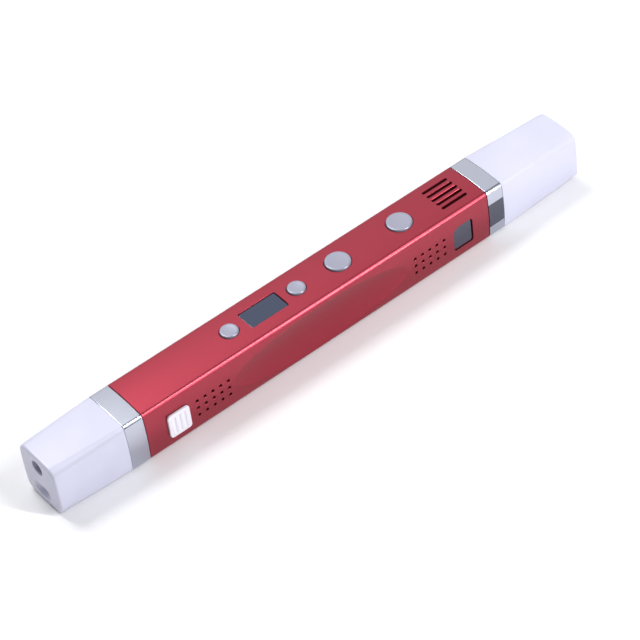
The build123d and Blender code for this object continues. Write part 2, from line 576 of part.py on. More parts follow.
def speed_slider():
    """Ribbed thumb plate with a stem that reaches the switch through the wall."""
    inner_y = -SIDE - SLIDER_GAP
    outer_y = inner_y - SLIDER_THICKNESS
    face = RectangleRounded(SLIDER_LENGTH, SLIDER_HEIGHT, SLIDER_CORNER)
    upright = Plane(origin=(SLIDER_CENTRE, inner_y, SIDE_ROW_Z), x_dir=(1, 0, 0), z_dir=(0, -1, 0))
    plate = extrude(upright * face, amount=SLIDER_THICKNESS)
    plate = fillet(plate.faces().sort_by(Axis.Y)[0].edges(), SLIDER_GROOVE_DEPTH)
    for index in (-1, 0, 1):
        x = SLIDER_CENTRE + index * SLIDER_GROOVE_PITCH
        groove_y = outer_y - SLIDER_GROOVE_RADIUS + SLIDER_GROOVE_DEPTH
        half = SLIDER_HEIGHT / 2 - SLIDER_CORNER
        plate -= rod_z(x, groove_y, (SIDE_ROW_Z - half, SIDE_ROW_Z + half), SLIDER_GROOVE_RADIUS)
    stem_end = -SPEED_SWITCH_OUTER + SLIDER_STEM_REACH
    stem = block((SLIDER_CENTRE - SLIDER_STEM_LENGTH / 2, SLIDER_CENTRE + SLIDER_STEM_LENGTH / 2),
                 (inner_y, stem_end),
                 (SIDE_ROW_Z - SLIDER_STEM_HEIGHT / 2, SIDE_ROW_Z + SLIDER_STEM_HEIGHT / 2))
    return plate + stem


def speed_switch():
    """Slide switch behind the thumb plate, with a groove for its stem."""
    outer = -SPEED_SWITCH_OUTER
    half = SPEED_SWITCH_LENGTH / 2
    case = block((SLIDER_CENTRE - half, SLIDER_CENTRE + half), (outer, outer + SPEED_SWITCH_DEPTH),
                 (SIDE_ROW_Z - SPEED_SWITCH_HEIGHT / 2, SIDE_ROW_Z + SPEED_SWITCH_HEIGHT / 2))
    half_groove = SLIDER_STEM_LENGTH / 2 + SLIDER_TRAVEL + SPEED_SWITCH_GROOVE_GAP
    half_height = SLIDER_STEM_HEIGHT / 2 + SPEED_SWITCH_GROOVE_GAP
    groove = block((SLIDER_CENTRE - half_groove, SLIDER_CENTRE + half_groove),
                   (outer - OVER, outer + SLIDER_STEM_REACH + SPEED_SWITCH_GROOVE_GAP),
                   (SIDE_ROW_Z - half_height, SIDE_ROW_Z + half_height))
    return case - groove


def latch_stations():
    """Y limits of the latch's outer face, the front of its flange and the back of its flange."""
    face = -SIDE + LATCH_RECESS
    flange_front = -INNER_SIDE + FACE_CROWN / 2 + LATCH_FLANGE_GAP
    return face, flange_front, flange_front + LATCH_FLANGE_THICKNESS


def nozzle_release_latch():
    """Push plate in the side window that frees the nozzle module."""
    face, flange_front, flange_back = latch_stations()
    plate = window_prism(LATCH_LENGTH, LATCH_HEIGHT, LATCH_CORNER, LATCH_REAR_TOP_CORNER,
                         (face, flange_back))
    flange = window_prism(LATCH_LENGTH + 2 * LATCH_FLANGE_LIP, LATCH_HEIGHT + 2 * LATCH_FLANGE_LIP,
                          LATCH_CORNER, LATCH_REAR_TOP_CORNER, (flange_front, flange_back))
    tongue_z = -LATCH_HEIGHT / 2
    tongue = block((-LATCH_TONGUE_LENGTH / 2, LATCH_TONGUE_LENGTH / 2),
                   (flange_back, flange_back + LATCH_TONGUE_REACH),
                   (tongue_z, tongue_z + LATCH_TONGUE_THICKNESS))
    return Pos(LATCH_CENTRE, 0, SIDE_ROW_Z) * (plate + flange + tongue)


def latch_spring():
    """Spring that returns the latch."""
    flange_back = latch_stations()[2]
    pocket_floor = HOLDER_POCKET_DEPTH - HOLDER_HALF_WIDTH
    return coil(LATCH_CENTRE, (flange_back, pocket_floor), SIDE_ROW_Z, LATCH_SPRING_DIAMETER / 2,
                LATCH_SPRING_WIRE, LATCH_SPRING_TURNS)


# ---- board and what is on it -------------------------------------------------------------------------
def main_board():
    """Long circuit board on the frame's rails, notched round the power socket."""
    board = block((BOARD_START, BOARD_END), (-BOARD_HALF_WIDTH, BOARD_HALF_WIDTH),
                  (BOARD_UNDERSIDE, BOARD_TOP))
    half = SOCKET_WIDTH / 2 + BOARD_NOTCH_GAP
    board -= block((0, SOCKET_START + SOCKET_LENGTH + BOARD_NOTCH_GAP), (-half, half), (0, TOP))
    for x, side in SCREW_PLACES:
        board -= rod_z(x, side * SCREW_Y, (0, TOP), SCREW_SHANK_RADIUS)
    return board


def tactile_switches():
    """One low switch under each button, soldered to the board."""
    places = list(SMALL_BUTTON_PLACES.values()) + list(LARGE_BUTTON_PLACES.values())
    half = SWITCH_SIZE / 2
    switches = []
    for place in places:
        case = block((place - half, place + half), (-half, half), (BOARD_TOP, BOARD_TOP + SWITCH_HEIGHT))
        dome = rod_z(place, 0, (BOARD_TOP, DOME_TOP), DOME_RADIUS)
        switches.append(case + dome)
    return Compound(children=switches)


def control_chips():
    """Processor, driver and power parts on the board."""
    chips = []
    for x, y, length, width, height in CHIP_PLACES:
        chips.append(block((x - length / 2, x + length / 2), (y - width / 2, y + width / 2),
                           (BOARD_TOP, BOARD_TOP + height)))
    return Compound(children=chips)


def display_module():
    """Display glass below the window."""
    half = DISPLAY_LENGTH / 2
    return block((WINDOW_CENTRE - half, WINDOW_CENTRE + half), (-DISPLAY_WIDTH / 2, DISPLAY_WIDTH / 2),
                 (DISPLAY_BOTTOM, DISPLAY_TOP))


def display_cushion():
    """Foam pad between the display and the board."""
    half = DISPLAY_LENGTH / 2 - FLEX_REACH
    return block((WINDOW_CENTRE - half, WINDOW_CENTRE + half), (-DISPLAY_WIDTH / 2, DISPLAY_WIDTH / 2),
                 (BOARD_TOP, DISPLAY_BOTTOM))


def display_flex():
    """Flat cable from the display down to the board."""
    start = WINDOW_CENTRE + DISPLAY_LENGTH / 2
    level = (DISPLAY_TOP + DISPLAY_BOTTOM) / 2
    across = (-FLEX_WIDTH / 2, FLEX_WIDTH / 2)
    out = block((start, start + FLEX_REACH), across, (level - FLEX_THICKNESS, level))
    down = block((start + FLEX_REACH - FLEX_THICKNESS, start + FLEX_REACH), across, (BOARD_TOP, level))
    return out + down


def socket_housing():
    """Power socket body with its round bore."""
    half_height = SOCKET_HEIGHT / 2
    case = block((SOCKET_START, SOCKET_START + SOCKET_LENGTH), (-SOCKET_WIDTH / 2, SOCKET_WIDTH / 2),
                 (SOCKET_Z - half_height, SOCKET_Z + half_height))
    bore_end = SOCKET_START + SOCKET_BORE_DEPTH
    return case - rod_x((SOCKET_START - OVER, bore_end), 0, SOCKET_Z, SOCKET_BORE_RADIUS)


def socket_pin():
    """Centre contact of the power socket."""
    pin = rod_x((SOCKET_START + SOCKET_PIN_SET_BACK, SOCKET_START + SOCKET_BORE_DEPTH), 0, SOCKET_Z,
                SOCKET_PIN_RADIUS)
    return fillet(pin.faces().sort_by(Axis.X)[0].edges(), SOCKET_PIN_RADIUS / 2)


# ---- frame -------------------------------------------------------------------------------------------
def rear_tube_line():
    """Ends of the rear guide tube's centre line."""
    start = Vector(INLET_THROAT_END + TUBE_FIT, 0, INLET_Z)
    return start, Vector(DRIVE_CENTRE - REAR_TUBE_TO_DRIVE, 0, FILAMENT_Z)


def rear_tube_bar(radius, extra):
    """Round bar along the rear guide tube's line, made longer at both ends by extra."""
    start, end = rear_tube_line()
    along = (end - start).normalized()
    line = Plane(origin=start - along * extra, z_dir=along)
    return extrude(line * Circle(radius), amount=(end - start).length + 2 * extra)


def inner_frame():
    """Tray whose rails carry the board, with ribs that hold the guide tube."""
    half = FRAME_HALF_WIDTH
    floor_top = FRAME_FLOOR_Z + FRAME_FLOOR_THICKNESS
    tray = block((FRAME_START, FRAME_END), (-half, half), (FRAME_FLOOR_Z, floor_top))
    for low, high in ((-half, -half + FRAME_RAIL), (half - FRAME_RAIL, half)):
        tray += block((FRAME_START, FRAME_END), (low, high), (FRAME_FLOOR_Z, BOARD_UNDERSIDE))
    for x in FRAME_RIB_PLACES:
        tray += block((x - FRAME_RIB / 2, x + FRAME_RIB / 2), (-half, half),
                      (FRAME_FLOOR_Z, FRAME_FLOOR_Z + FRAME_RIB_HEIGHT))
    boss_bottom = BOARD_UNDERSIDE - FRAME_BOSS_DEPTH
    for x, side in SCREW_PLACES:
        across = sorted((side * (half - FRAME_BOSS_WIDTH), side * half))
        tray += block((x - FRAME_BOSS_LENGTH / 2, x + FRAME_BOSS_LENGTH / 2), across,
                      (boss_bottom, BOARD_UNDERSIDE))
        tray -= rod_z(x, side * SCREW_Y, (boss_bottom, BOARD_TOP), SCREW_SHANK_RADIUS)
    tray -= rear_tube_bar(TUBE_RADIUS + TUBE_FIT, OVER)
    bay = SPEED_SWITCH_LENGTH / 2 + SPEED_SWITCH_BAY_GAP
    bay_height = SPEED_SWITCH_HEIGHT / 2 + SPEED_SWITCH_BAY_GAP
    tray -= block((SLIDER_CENTRE - bay, SLIDER_CENTRE + bay),
                  (-SIDE, SPEED_SWITCH_DEPTH + SPEED_SWITCH_BAY_GAP - SPEED_SWITCH_OUTER),
                  (SIDE_ROW_Z - bay_height, SIDE_ROW_Z + bay_height))
    return tray - rod_x((MOTOR_REAR - MOTOR_BAY_GAP, FRAME_END + OVER), MOTOR_Y, MOTOR_Z,
                        MOTOR_RADIUS + MOTOR_BAY_GAP)


def frame_screws():
    """Small screws that hold the board to the frame."""
    screws = []
    for x, side in SCREW_PLACES:
        y = side * SCREW_Y
        shank = rod_z(x, y, (BOARD_TOP - SCREW_SHANK_LENGTH, BOARD_TOP), SCREW_SHANK_RADIUS)
        head = rod_z(x, y, (BOARD_TOP, BOARD_TOP + SCREW_HEAD_HEIGHT), SCREW_HEAD_RADIUS)
        screws.append(shank + head)
    return Compound(children=screws)


# ---- drive -------------------------------------------------------------------------------------------
def rear_guide_tube():
    """Slippery tube that leads the filament from the inlet to the feed wheel."""
    return rear_tube_bar(TUBE_RADIUS, 0) - rear_tube_bar(TUBE_BORE_RADIUS, OVER)


def front_guide_tube():
    """Short tube from the feed wheel into the nozzle holder."""
    span = (DRIVE_CENTRE + FRONT_TUBE_TO_DRIVE, HOLDER_START)
    longer = (span[0] - OVER, span[1] + OVER)
    return rod_x(span, 0, FILAMENT_Z, TUBE_RADIUS) - rod_x(longer, 0, FILAMENT_Z, TUBE_BORE_RADIUS)


def gearbox():
    """Round reduction gearbox in front of the motor, with a ridge at each joint of its stages."""
    case = rod_x((GEARBOX_START, BLOCK_START), MOTOR_Y, MOTOR_Z, MOTOR_RADIUS - GEARBOX_RIDGE)
    for index in range(GEARBOX_RIDGE_COUNT):
        x = GEARBOX_START + index * GEARBOX_RIDGE_PITCH
        case += rod_x((x, x + GEARBOX_RIDGE_WIDTH), MOTOR_Y, MOTOR_Z, MOTOR_RADIUS)
    return case - rod_x((BLOCK_START - SHAFT_HELD, BLOCK_START + OVER), MOTOR_Y, MOTOR_Z,
                        SHAFT_RADIUS + SHAFT_RUNNING_FIT)


def motor_can():
    """Small motor with its plastic end cap."""
    can = rod_x((MOTOR_START, GEARBOX_START), MOTOR_Y, MOTOR_Z, MOTOR_RADIUS)
    return can + rod_x((MOTOR_REAR, MOTOR_START), MOTOR_Y, MOTOR_Z, MOTOR_RADIUS - GEARBOX_RIDGE)


def worm_phase_profile():
    """Section of the worm across its axis: a root circle with one lobe that turns into the thread."""
    outer = WORM_PITCH_RADIUS + TOOTH_DEPTH_ABOVE
    root = WORM_PITCH_RADIUS - TOOTH_DEPTH_BELOW
    half = THREAD_SHARE * 180
    start = Vector(outer, 0, 0).rotate(Axis.Z, -half)
    middle = Vector(outer, 0, 0)
    end = Vector(outer, 0, 0).rotate(Axis.Z, half)
    flank = THREAD_FLANK_SHARE * 360
    root_start = Vector(root, 0, 0).rotate(Axis.Z, half + flank)
    root_middle = Vector(-root, 0, 0)
    root_end = Vector(root, 0, 0).rotate(Axis.Z, -half - flank)
    lobe = ThreePointArc(start, middle, end)
    flank_down = Line(end, root_start)
    core = ThreePointArc(root_start, root_middle, root_end)
    flank_up = Line(root_end, start)
    return make_face([lobe, flank_down, core, flank_up]).face()


def worm():
    """Single-start worm pressed on the gearbox shaft."""
    turns = WORM_LENGTH / WORM_PITCH
    face = worm_phase_profile()
    thread = Solid.extrude_linear_with_rotation(face, (0, 0, 0), (0, 0, WORM_LENGTH), 360 * turns)
    thread = Part() + thread
    # Half way along the worm, the gap between two turns faces the wheel.
    turned = Rot(0, 0, -180 * turns - 90) * thread
    along = Pos(DRIVE_CENTRE - WORM_LENGTH / 2, MOTOR_Y, MOTOR_Z) * Rot(0, 90, 0) * turned
    return along - rod_x((BLOCK_START, BLOCK_END), MOTOR_Y, MOTOR_Z, SHAFT_RADIUS)


def drive_shaft():
    """Gearbox output shaft that carries the worm."""
    return rod_x((BLOCK_START - SHAFT_HELD, BLOCK_END), MOTOR_Y, MOTOR_Z, SHAFT_RADIUS)


def worm_wheel():
    """Toothed wheel on the feed axle, driven by the worm."""
    outer = WHEEL_PITCH_RADIUS + TOOTH_DEPTH_ABOVE
    root = WHEEL_PITCH_RADIUS - TOOTH_DEPTH_BELOW
    half_root = TOOTH_ROOT_SHARE * WORM_PITCH
    half_tip = TOOTH_TIP_SHARE * WORM_PITCH
    wheel = Circle(root)
    for index in range(WHEEL_TEETH):
        tooth = Polygon((root - TOOTH_SINK, -half_root), (root - TOOTH_SINK, half_root),
                        (outer, half_tip), (outer, -half_tip), align=None)
        wheel += Rot(0, 0, index * 360 / WHEEL_TEETH) * tooth
    lead = math.atan(WORM_PITCH / (2 * math.pi * WORM_PITCH_RADIUS))
    twist = math.degrees(WHEEL_THICKNESS * math.tan(lead) / WHEEL_PITCH_RADIUS)
    solid = Part()
    for face in wheel.faces():
        solid += Solid.extrude_linear_with_rotation(face, (0, 0, 0), (0, 0, WHEEL_THICKNESS), twist)
    facing = -90 - twist / 2
    placed = Pos(DRIVE_CENTRE, WHEEL_Y, MOTOR_Z - WHEEL_THICKNESS / 2) * Rot(0, 0, facing) * solid
    return placed - rod_z(DRIVE_CENTRE, WHEEL_Y, (-TOP, TOP), AXLE_RADIUS)


def feed_axle():
    """Upright axle through the feed block."""
    return rod_z(DRIVE_CENTRE, WHEEL_Y, (BLOCK_FLOOR_Z, BLOCK_TOP_Z), AXLE_RADIUS)


def feed_wheel():
    """Grooved wheel that grips the filament."""
    half = FEED_WHEEL_WIDTH / 2
    wheel = rod_z(DRIVE_CENTRE, WHEEL_Y, (FILAMENT_Z - half, FILAMENT_Z + half), FEED_WHEEL_RADIUS)
    for index in range(FEED_WHEEL_KNURLS):
        angle = math.radians(index * 360 / FEED_WHEEL_KNURLS)
        x = DRIVE_CENTRE + FEED_WHEEL_RADIUS * math.cos(angle)
        y = WHEEL_Y + FEED_WHEEL_RADIUS * math.sin(angle)
        wheel -= rod_z(x, y, (FILAMENT_Z - half, FILAMENT_Z + half), FEED_KNURL_RADIUS)
    return wheel - rod_z(DRIVE_CENTRE, WHEEL_Y, (-TOP, TOP), AXLE_RADIUS)


def feed_block():
    """Housing that holds the feed axle, the drive shaft's end and the idler."""
    length = (BLOCK_START, BLOCK_END)
    across = (-BLOCK_HALF_WIDTH, BLOCK_HALF_WIDTH)
    housing = block(length, across, (BLOCK_FLOOR_Z, BLOCK_FLOOR_TOP))
    housing += block(length, across, (BLOCK_TOP_Z - BLOCK_TOP_THICKNESS, BLOCK_TOP_Z))
    housing += block((BLOCK_START, BLOCK_START + BLOCK_WALL), across, (BLOCK_FLOOR_Z, BLOCK_TOP_Z))
    housing += block((BLOCK_END - BLOCK_WALL, BLOCK_END), across, (BLOCK_FLOOR_Z, BLOCK_TOP_Z))
    housing += block(length, (-BLOCK_HALF_WIDTH, -BLOCK_HALF_WIDTH + BLOCK_SIDE_WALL),
                     (BLOCK_FLOOR_Z, BLOCK_FLOOR_Z + BLOCK_SIDE_WALL_RISE))
    through = (BLOCK_START - OVER, BLOCK_END + OVER)
    housing -= rod_x(through, MOTOR_Y, MOTOR_Z, SHAFT_RADIUS + SHAFT_RUNNING_FIT)
    housing -= rod_x(through, 0, FILAMENT_Z, TUBE_RADIUS + TUBE_FIT)
    housing -= rod_z(DRIVE_CENTRE, WHEEL_Y, (-TOP, TOP), AXLE_RADIUS + SHAFT_RUNNING_FIT)
    return housing - rear_tube_bar(TUBE_RADIUS + TUBE_FIT, OVER)


def arm_leg(start, end):
    """Round-ended bar of the idler arm between two points."""
    length = math.hypot(end[0] - start[0], end[1] - start[1])
    angle = math.degrees(math.atan2(end[1] - start[1], end[0] - start[0]))
    bar = extrude(SlotCenterToCenter(length, ARM_WIDTH), amount=ARM_THICKNESS)
    return Pos((start[0] + end[0]) / 2, (start[1] + end[1]) / 2, ARM_BOTTOM) * Rot(0, 0, angle) * bar


def idler_arm():
    """Arm that presses the idler bearing towards the feed wheel."""
    arm = arm_leg((ARM_PIVOT_X, ARM_PIVOT_Y), (DRIVE_CENTRE, IDLER_Y))
    arm += arm_leg((DRIVE_CENTRE, IDLER_Y), (ARM_TAIL_X, IDLER_Y))
    arm += rod_z(DRIVE_CENTRE, IDLER_Y, (ARM_BOTTOM, BEARING_BOTTOM - BEARING_FIT), PIN_HEAD_RADIUS)
    arm -= rod_z(ARM_PIVOT_X, ARM_PIVOT_Y, (-TOP, TOP), ARM_PIVOT_PIN_RADIUS + SHAFT_RUNNING_FIT)
    return arm - rod_z(DRIVE_CENTRE, IDLER_Y, (-TOP, TOP), BEARING_PIN_RADIUS)


def idler_pin():
    """Headed pin that the idler bearing turns on."""
    head_bottom = BEARING_TOP + BEARING_FIT
    pin = rod_z(DRIVE_CENTRE, IDLER_Y, (ARM_BOTTOM, head_bottom), BEARING_PIN_RADIUS)
    return pin + rod_z(DRIVE_CENTRE, IDLER_Y, (head_bottom, head_bottom + PIN_HEAD_HEIGHT), PIN_HEAD_RADIUS)


def idler_bearing():
    """Plain roller opposite the feed wheel."""
    roller = rod_z(DRIVE_CENTRE, IDLER_Y, (BEARING_BOTTOM, BEARING_TOP), BEARING_RADIUS)
    return roller - rod_z(DRIVE_CENTRE, IDLER_Y, (-TOP, TOP), BEARING_PIN_RADIUS + BEARING_FIT)


def arm_pivot_pin():
    """Pin in the feed block that the idler arm swings on."""
    return rod_z(ARM_PIVOT_X, ARM_PIVOT_Y, (BLOCK_FLOOR_TOP, ARM_TOP), ARM_PIVOT_PIN_RADIUS)


def pressure_spring():
    """Spring that pushes the tail of the idler arm inwards."""
    wall = -BLOCK_HALF_WIDTH + BLOCK_SIDE_WALL
    return coil(ARM_TAIL_X, (wall, IDLER_Y - ARM_WIDTH / 2), (ARM_BOTTOM + ARM_TOP) / 2,
                SPRING_DIAMETER / 2, SPRING_WIRE, SPRING_TURNS)


# ---- nozzle module -----------------------------------------------------------------------------------
def nozzle_holder():
    """Heat-resistant plug that holds the heater and slides in the front ring."""
    face = RectangleRounded(2 * HOLDER_HALF_WIDTH, 2 * HOLDER_HALF_HEIGHT, HOLDER_CORNER)
    across = Plane(origin=(HOLDER_START, 0, 0), x_dir=(0, 1, 0), z_dir=(1, 0, 0))
    plug = extrude(across * face, amount=HOLDER_LENGTH)
    plug -= rod_x((HOLDER_START - OVER, HOLDER_END), 0, FILAMENT_Z, HEATER_TUBE_RADIUS)
    cavity = (HEATER_START - HEATER_CAVITY_MARGIN, HOLDER_END + OVER)
    plug -= rod_x(cavity, 0, FILAMENT_Z, HEATER_CAVITY_RADIUS)
    half_length = LATCH_LENGTH / 2 + LATCH_FLANGE_LIP + HOLDER_POCKET_MARGIN
    half_height = LATCH_HEIGHT / 2 + LATCH_FLANGE_LIP + HOLDER_POCKET_MARGIN / 2
    plug -= block((LATCH_CENTRE - half_length, LATCH_CENTRE + half_length),
                  (-SIDE, HOLDER_POCKET_DEPTH - HOLDER_HALF_WIDTH),
                  (SIDE_ROW_Z - half_height, SIDE_ROW_Z + half_height))
    channel = (-LEAD_CHANNEL, LEAD_CHANNEL)
    plug -= block((HOLDER_START - OVER, HOLDER_END + OVER), channel, (BOARD_TOP, TOP))
    return plug - block((HOLDER_END - LEAD_SLOT_LENGTH, HOLDER_END + OVER), channel, (FILAMENT_Z, TOP))


def heater_tube():
    """Steel tube that the filament melts in."""
    span = (HOLDER_START, HEATER_TUBE_END)
    longer = (span[0] - OVER, span[1] + OVER)
    return rod_x(span, 0, FILAMENT_Z, HEATER_TUBE_RADIUS) - rod_x(longer, 0, FILAMENT_Z, HEATER_TUBE_BORE)


def heater_sleeve():
    """Ceramic heating sleeve round the steel tube."""
    span = (HEATER_START, HEATER_END)
    longer = (span[0] - OVER, span[1] + OVER)
    return rod_x(span, 0, FILAMENT_Z, HEATER_RADIUS) - rod_x(longer, 0, FILAMENT_Z, HEATER_TUBE_RADIUS)


def cone_x(x, z, start_radius, end_radius):
    """Round cone along the pen between two stations."""
    across = Plane(origin=(x[0], 0, z), x_dir=(0, 1, 0), z_dir=(1, 0, 0))
    return loft([across * Circle(start_radius), across.offset(x[1] - x[0]) * Circle(end_radius)])


def heat_shield():
    """Thin metal nose round the heater."""
    span = (HOLDER_END, SHIELD_END)
    outer = cone_x(span, FILAMENT_Z, SHIELD_START_RADIUS, SHIELD_END_RADIUS)
    inner = cone_x(span, FILAMENT_Z, SHIELD_START_RADIUS - SHIELD_WALL, SHIELD_END_RADIUS - SHIELD_WALL)
    return outer - inner


def ceramic_nozzle():
    """Tapered ceramic tip with its fine outlet."""
    waist = NOZZLE_START + NOZZLE_CYLINDER
    tip = rod_x((NOZZLE_START, waist), 0, FILAMENT_Z, NOZZLE_BASE_RADIUS)
    tip += cone_x((waist, NOZZLE_END), FILAMENT_Z, NOZZLE_BASE_RADIUS, NOZZLE_TIP_RADIUS)
    tip -= rod_x((NOZZLE_START - OVER, HEATER_TUBE_END), 0, FILAMENT_Z, HEATER_TUBE_RADIUS)
    return tip - rod_x((NOZZLE_START, NOZZLE_END + OVER), 0, FILAMENT_Z, NOZZLE_BORE)


def temperature_sensor():
    """Bead sensor that lies along the heater."""
    z = FILAMENT_Z + HEATER_RADIUS + SENSOR_RADIUS
    return rod_x((SENSOR_X, SENSOR_X + SENSOR_LENGTH), 0, z, SENSOR_RADIUS)


# ---- leads -------------------------------------------------------------------------------------------
def lead(points):
    """Insulated wire along straight runs joined by round bends."""
    path = FilletPolyline(*points, radius=LEAD_BEND)
    start = Plane(origin=path @ 0, z_dir=path % 0)
    return sweep(start * Circle(LEAD_RADIUS), path=path)


def motor_leads():
    """Two wires from the motor's end cap up to the board."""
    bend_x = MOTOR_REAR - MOTOR_LEAD_REACH
    wires = []
    for y in (MOTOR_Y - MOTOR_TERMINAL, MOTOR_Y + MOTOR_TERMINAL):
        wires.append(lead([(MOTOR_REAR, y, MOTOR_Z), (bend_x, y, MOTOR_Z), (bend_x, y, BOARD_UNDERSIDE)]))
    return Compound(children=wires)


def heater_leads():
    """Two wires from the board along the top of the holder and down to the heater."""
    level = BOARD_TOP + LEAD_RADIUS
    drop_x = HOLDER_END - HEATER_LEAD_SET_BACK
    wires = []
    for y in (-HEATER_LEAD_HALF_PITCH, HEATER_LEAD_HALF_PITCH):
        wires.append(lead([(BOARD_END - HEATER_LEAD_PAD, y, level), (drop_x, y, level),
                           (drop_x, y, FILAMENT_Z + HEATER_RADIUS)]))
    return Compound(children=wires)


# ---- every piece, and where it is written ------------------------------------------------------------
PIECES = {
    "body_shell": body_shell,
    "rear_ring": rear_ring,
    "front_ring": front_ring,
    "front_ring_inlay": front_ring_inlay,
    "rear_cap": rear_cap,
    "front_cap": front_cap,
    "display_window": display_window,
    "speed_slider": speed_slider,
    "speed_switch": speed_switch,
    "nozzle_release_latch": nozzle_release_latch,
    "latch_spring": latch_spring,
    "main_board": main_board,
    "tactile_switches": tactile_switches,
    "control_chips": control_chips,
    "display_module": display_module,
    "display_cushion": display_cushion,
    "display_flex": display_flex,
    "power_socket": socket_housing,
    "power_socket_pin": socket_pin,
    "inner_frame": inner_frame,
    "frame_screws": frame_screws,
    "rear_guide_tube": rear_guide_tube,
    "front_guide_tube": front_guide_tube,
    "motor": motor_can,
    "gearbox": gearbox,
    "drive_shaft": drive_shaft,
    "worm": worm,
    "worm_wheel": worm_wheel,
    "feed_axle": feed_axle,
    "feed_wheel": feed_wheel,
    "feed_block": feed_block,
    "idler_arm": idler_arm,
    "idler_pin": idler_pin,
    "idler_bearing": idler_bearing,
    "arm_pivot_pin": arm_pivot_pin,
    "pressure_spring": pressure_spring,
    "nozzle_holder": nozzle_holder,
    "heater_tube": heater_tube,
    "heater_sleeve": heater_sleeve,
    "heat_shield": heat_shield,
    "ceramic_nozzle": ceramic_nozzle,
    "temperature_sensor": temperature_sensor,
    "motor_leads": motor_leads,
    "heater_leads": heater_leads,
}

os.makedirs("parts", exist_ok=True)
for name, make in PIECES.items():
    export_step(PLACE * make(), f"parts/{name}.step")
for name, place in SMALL_BUTTON_PLACES.items():
    export_step(PLACE * button(place, SMALL_BUTTON_DIAMETER), f"parts/{name}.step")
for name, place in LARGE_BUTTON_PLACES.items():
    export_step(PLACE * button(place, LARGE_BUTTON_DIAMETER), f"parts/{name}.step")
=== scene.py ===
import json
import math

import bmesh
import bpy
from bpy.props import FloatProperty, FloatVectorProperty, IntProperty, PointerProperty
from mathutils import Matrix, Vector

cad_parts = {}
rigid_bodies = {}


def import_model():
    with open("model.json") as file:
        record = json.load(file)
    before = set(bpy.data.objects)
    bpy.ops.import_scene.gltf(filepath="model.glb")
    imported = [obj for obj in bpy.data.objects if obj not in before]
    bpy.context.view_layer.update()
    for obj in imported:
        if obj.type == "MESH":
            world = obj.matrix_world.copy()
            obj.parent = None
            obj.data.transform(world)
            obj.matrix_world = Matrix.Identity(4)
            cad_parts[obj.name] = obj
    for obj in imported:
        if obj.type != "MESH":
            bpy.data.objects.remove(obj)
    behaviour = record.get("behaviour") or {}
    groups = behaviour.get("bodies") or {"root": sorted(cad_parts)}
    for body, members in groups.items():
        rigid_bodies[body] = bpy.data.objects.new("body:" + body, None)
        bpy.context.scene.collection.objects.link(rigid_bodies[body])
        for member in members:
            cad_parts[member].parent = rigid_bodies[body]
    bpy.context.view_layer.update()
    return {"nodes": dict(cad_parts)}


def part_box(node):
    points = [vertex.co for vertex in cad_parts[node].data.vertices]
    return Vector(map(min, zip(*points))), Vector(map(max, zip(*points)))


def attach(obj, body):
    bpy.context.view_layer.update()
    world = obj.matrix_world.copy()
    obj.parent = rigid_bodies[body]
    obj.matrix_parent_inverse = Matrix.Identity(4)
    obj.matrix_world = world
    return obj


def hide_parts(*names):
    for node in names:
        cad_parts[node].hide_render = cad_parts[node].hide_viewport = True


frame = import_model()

bl_info = {
    "name": "Three D Pen",
    "version": (1, 0, 0),
    "blender": (4, 5, 0),
    "location": "View3D > Sidebar > Pen",
    "description": "Builds the casing, controls and finishes of a square three d pen",
    "category": "Add Mesh",
}

MM = 0.001
NODES = frame["nodes"]
OVER = 1.0 * MM                 # how far a cutter runs past a face
SINK = 0.1 * MM                 # how far an added part starts inside its plate
WELD = 0.002 * MM               # vertices closer than this are one
SAME = 0.001 * MM               # edges shorter than this are dissolved
CUT_DEPTH = 4.0 * MM            # of the cutters for the tube's openings
FLOOR_GAP = 0.02 * MM           # between the floor and the pen
EASE = 0.3                      # share of a rim break at its middle station
NEARLY = 0.999                  # a slot's ends are this share of a full round
EVEN = 0.65                     # share of the funnel that widens evenly, the rest in a round
SECOND_SHADE = 0.93             # of a finish's own colour, where it has no second one
COAT_ROUGHNESS = 0.08
QUARTER = math.pi / 2

TUBE_LOW, TUBE_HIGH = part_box("body_shell")
REAR_CAP_LOW, REAR_CAP_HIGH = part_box("rear_cap")
FRONT_CAP_LOW, FRONT_CAP_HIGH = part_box("front_cap")
HALF_Y = TUBE_HIGH.y
HALF_Z = (TUBE_HIGH.z - TUBE_LOW.z) / 2
MID_Z = (TUBE_HIGH.z + TUBE_LOW.z) / 2
BOTTOM = TUBE_LOW.z
TOP = TUBE_HIGH.z
BUTTON_BODIES = {
    "temperature_down_button": "temperature_down",
    "temperature_up_button": "temperature_up",
    "retract_button": "retract",
    "feed_button": "feed",
}
# Each light's name, its setting for power, the way to it from the pen, its distance and its sizes in metres.
LIGHTS = (
    ("edge light", "key", (0.386, -0.707, 0.592), 0.8, (0.8, 0.08)),
    ("overhead light", "fill", (-0.1, 0.6, 1), 1.2, (0.5, 0.5)),
    ("back light", "back", (0.386, 0.592, 0.707), 1.3, (1.5, 1.1)),
)


def millimetres(name, default, description):
    """Length property whose default is given in millimetres."""
    return FloatProperty(name=name, description=description, default=default * MM, unit="LENGTH", precision=5)


def tint(name, default, description):
    """Colour property."""
    return FloatVectorProperty(name=name, description=description, default=default, size=3, subtype="COLOR",
                               min=0.0, max=1.0)


def count(name, default, least, most, description):
    """Whole number property."""
    return IntProperty(name=name, description=description, default=default, min=least, max=most)


def degrees_of(name, default, description):
    """Angle property whose default is given in degrees."""
    return FloatProperty(name=name, description=description, default=math.radians(default), subtype="ANGLE")


def watts(name, default, description):
    """Power property of a light."""
    return FloatProperty(name=name, description=description, default=default, min=0.0, unit="POWER")


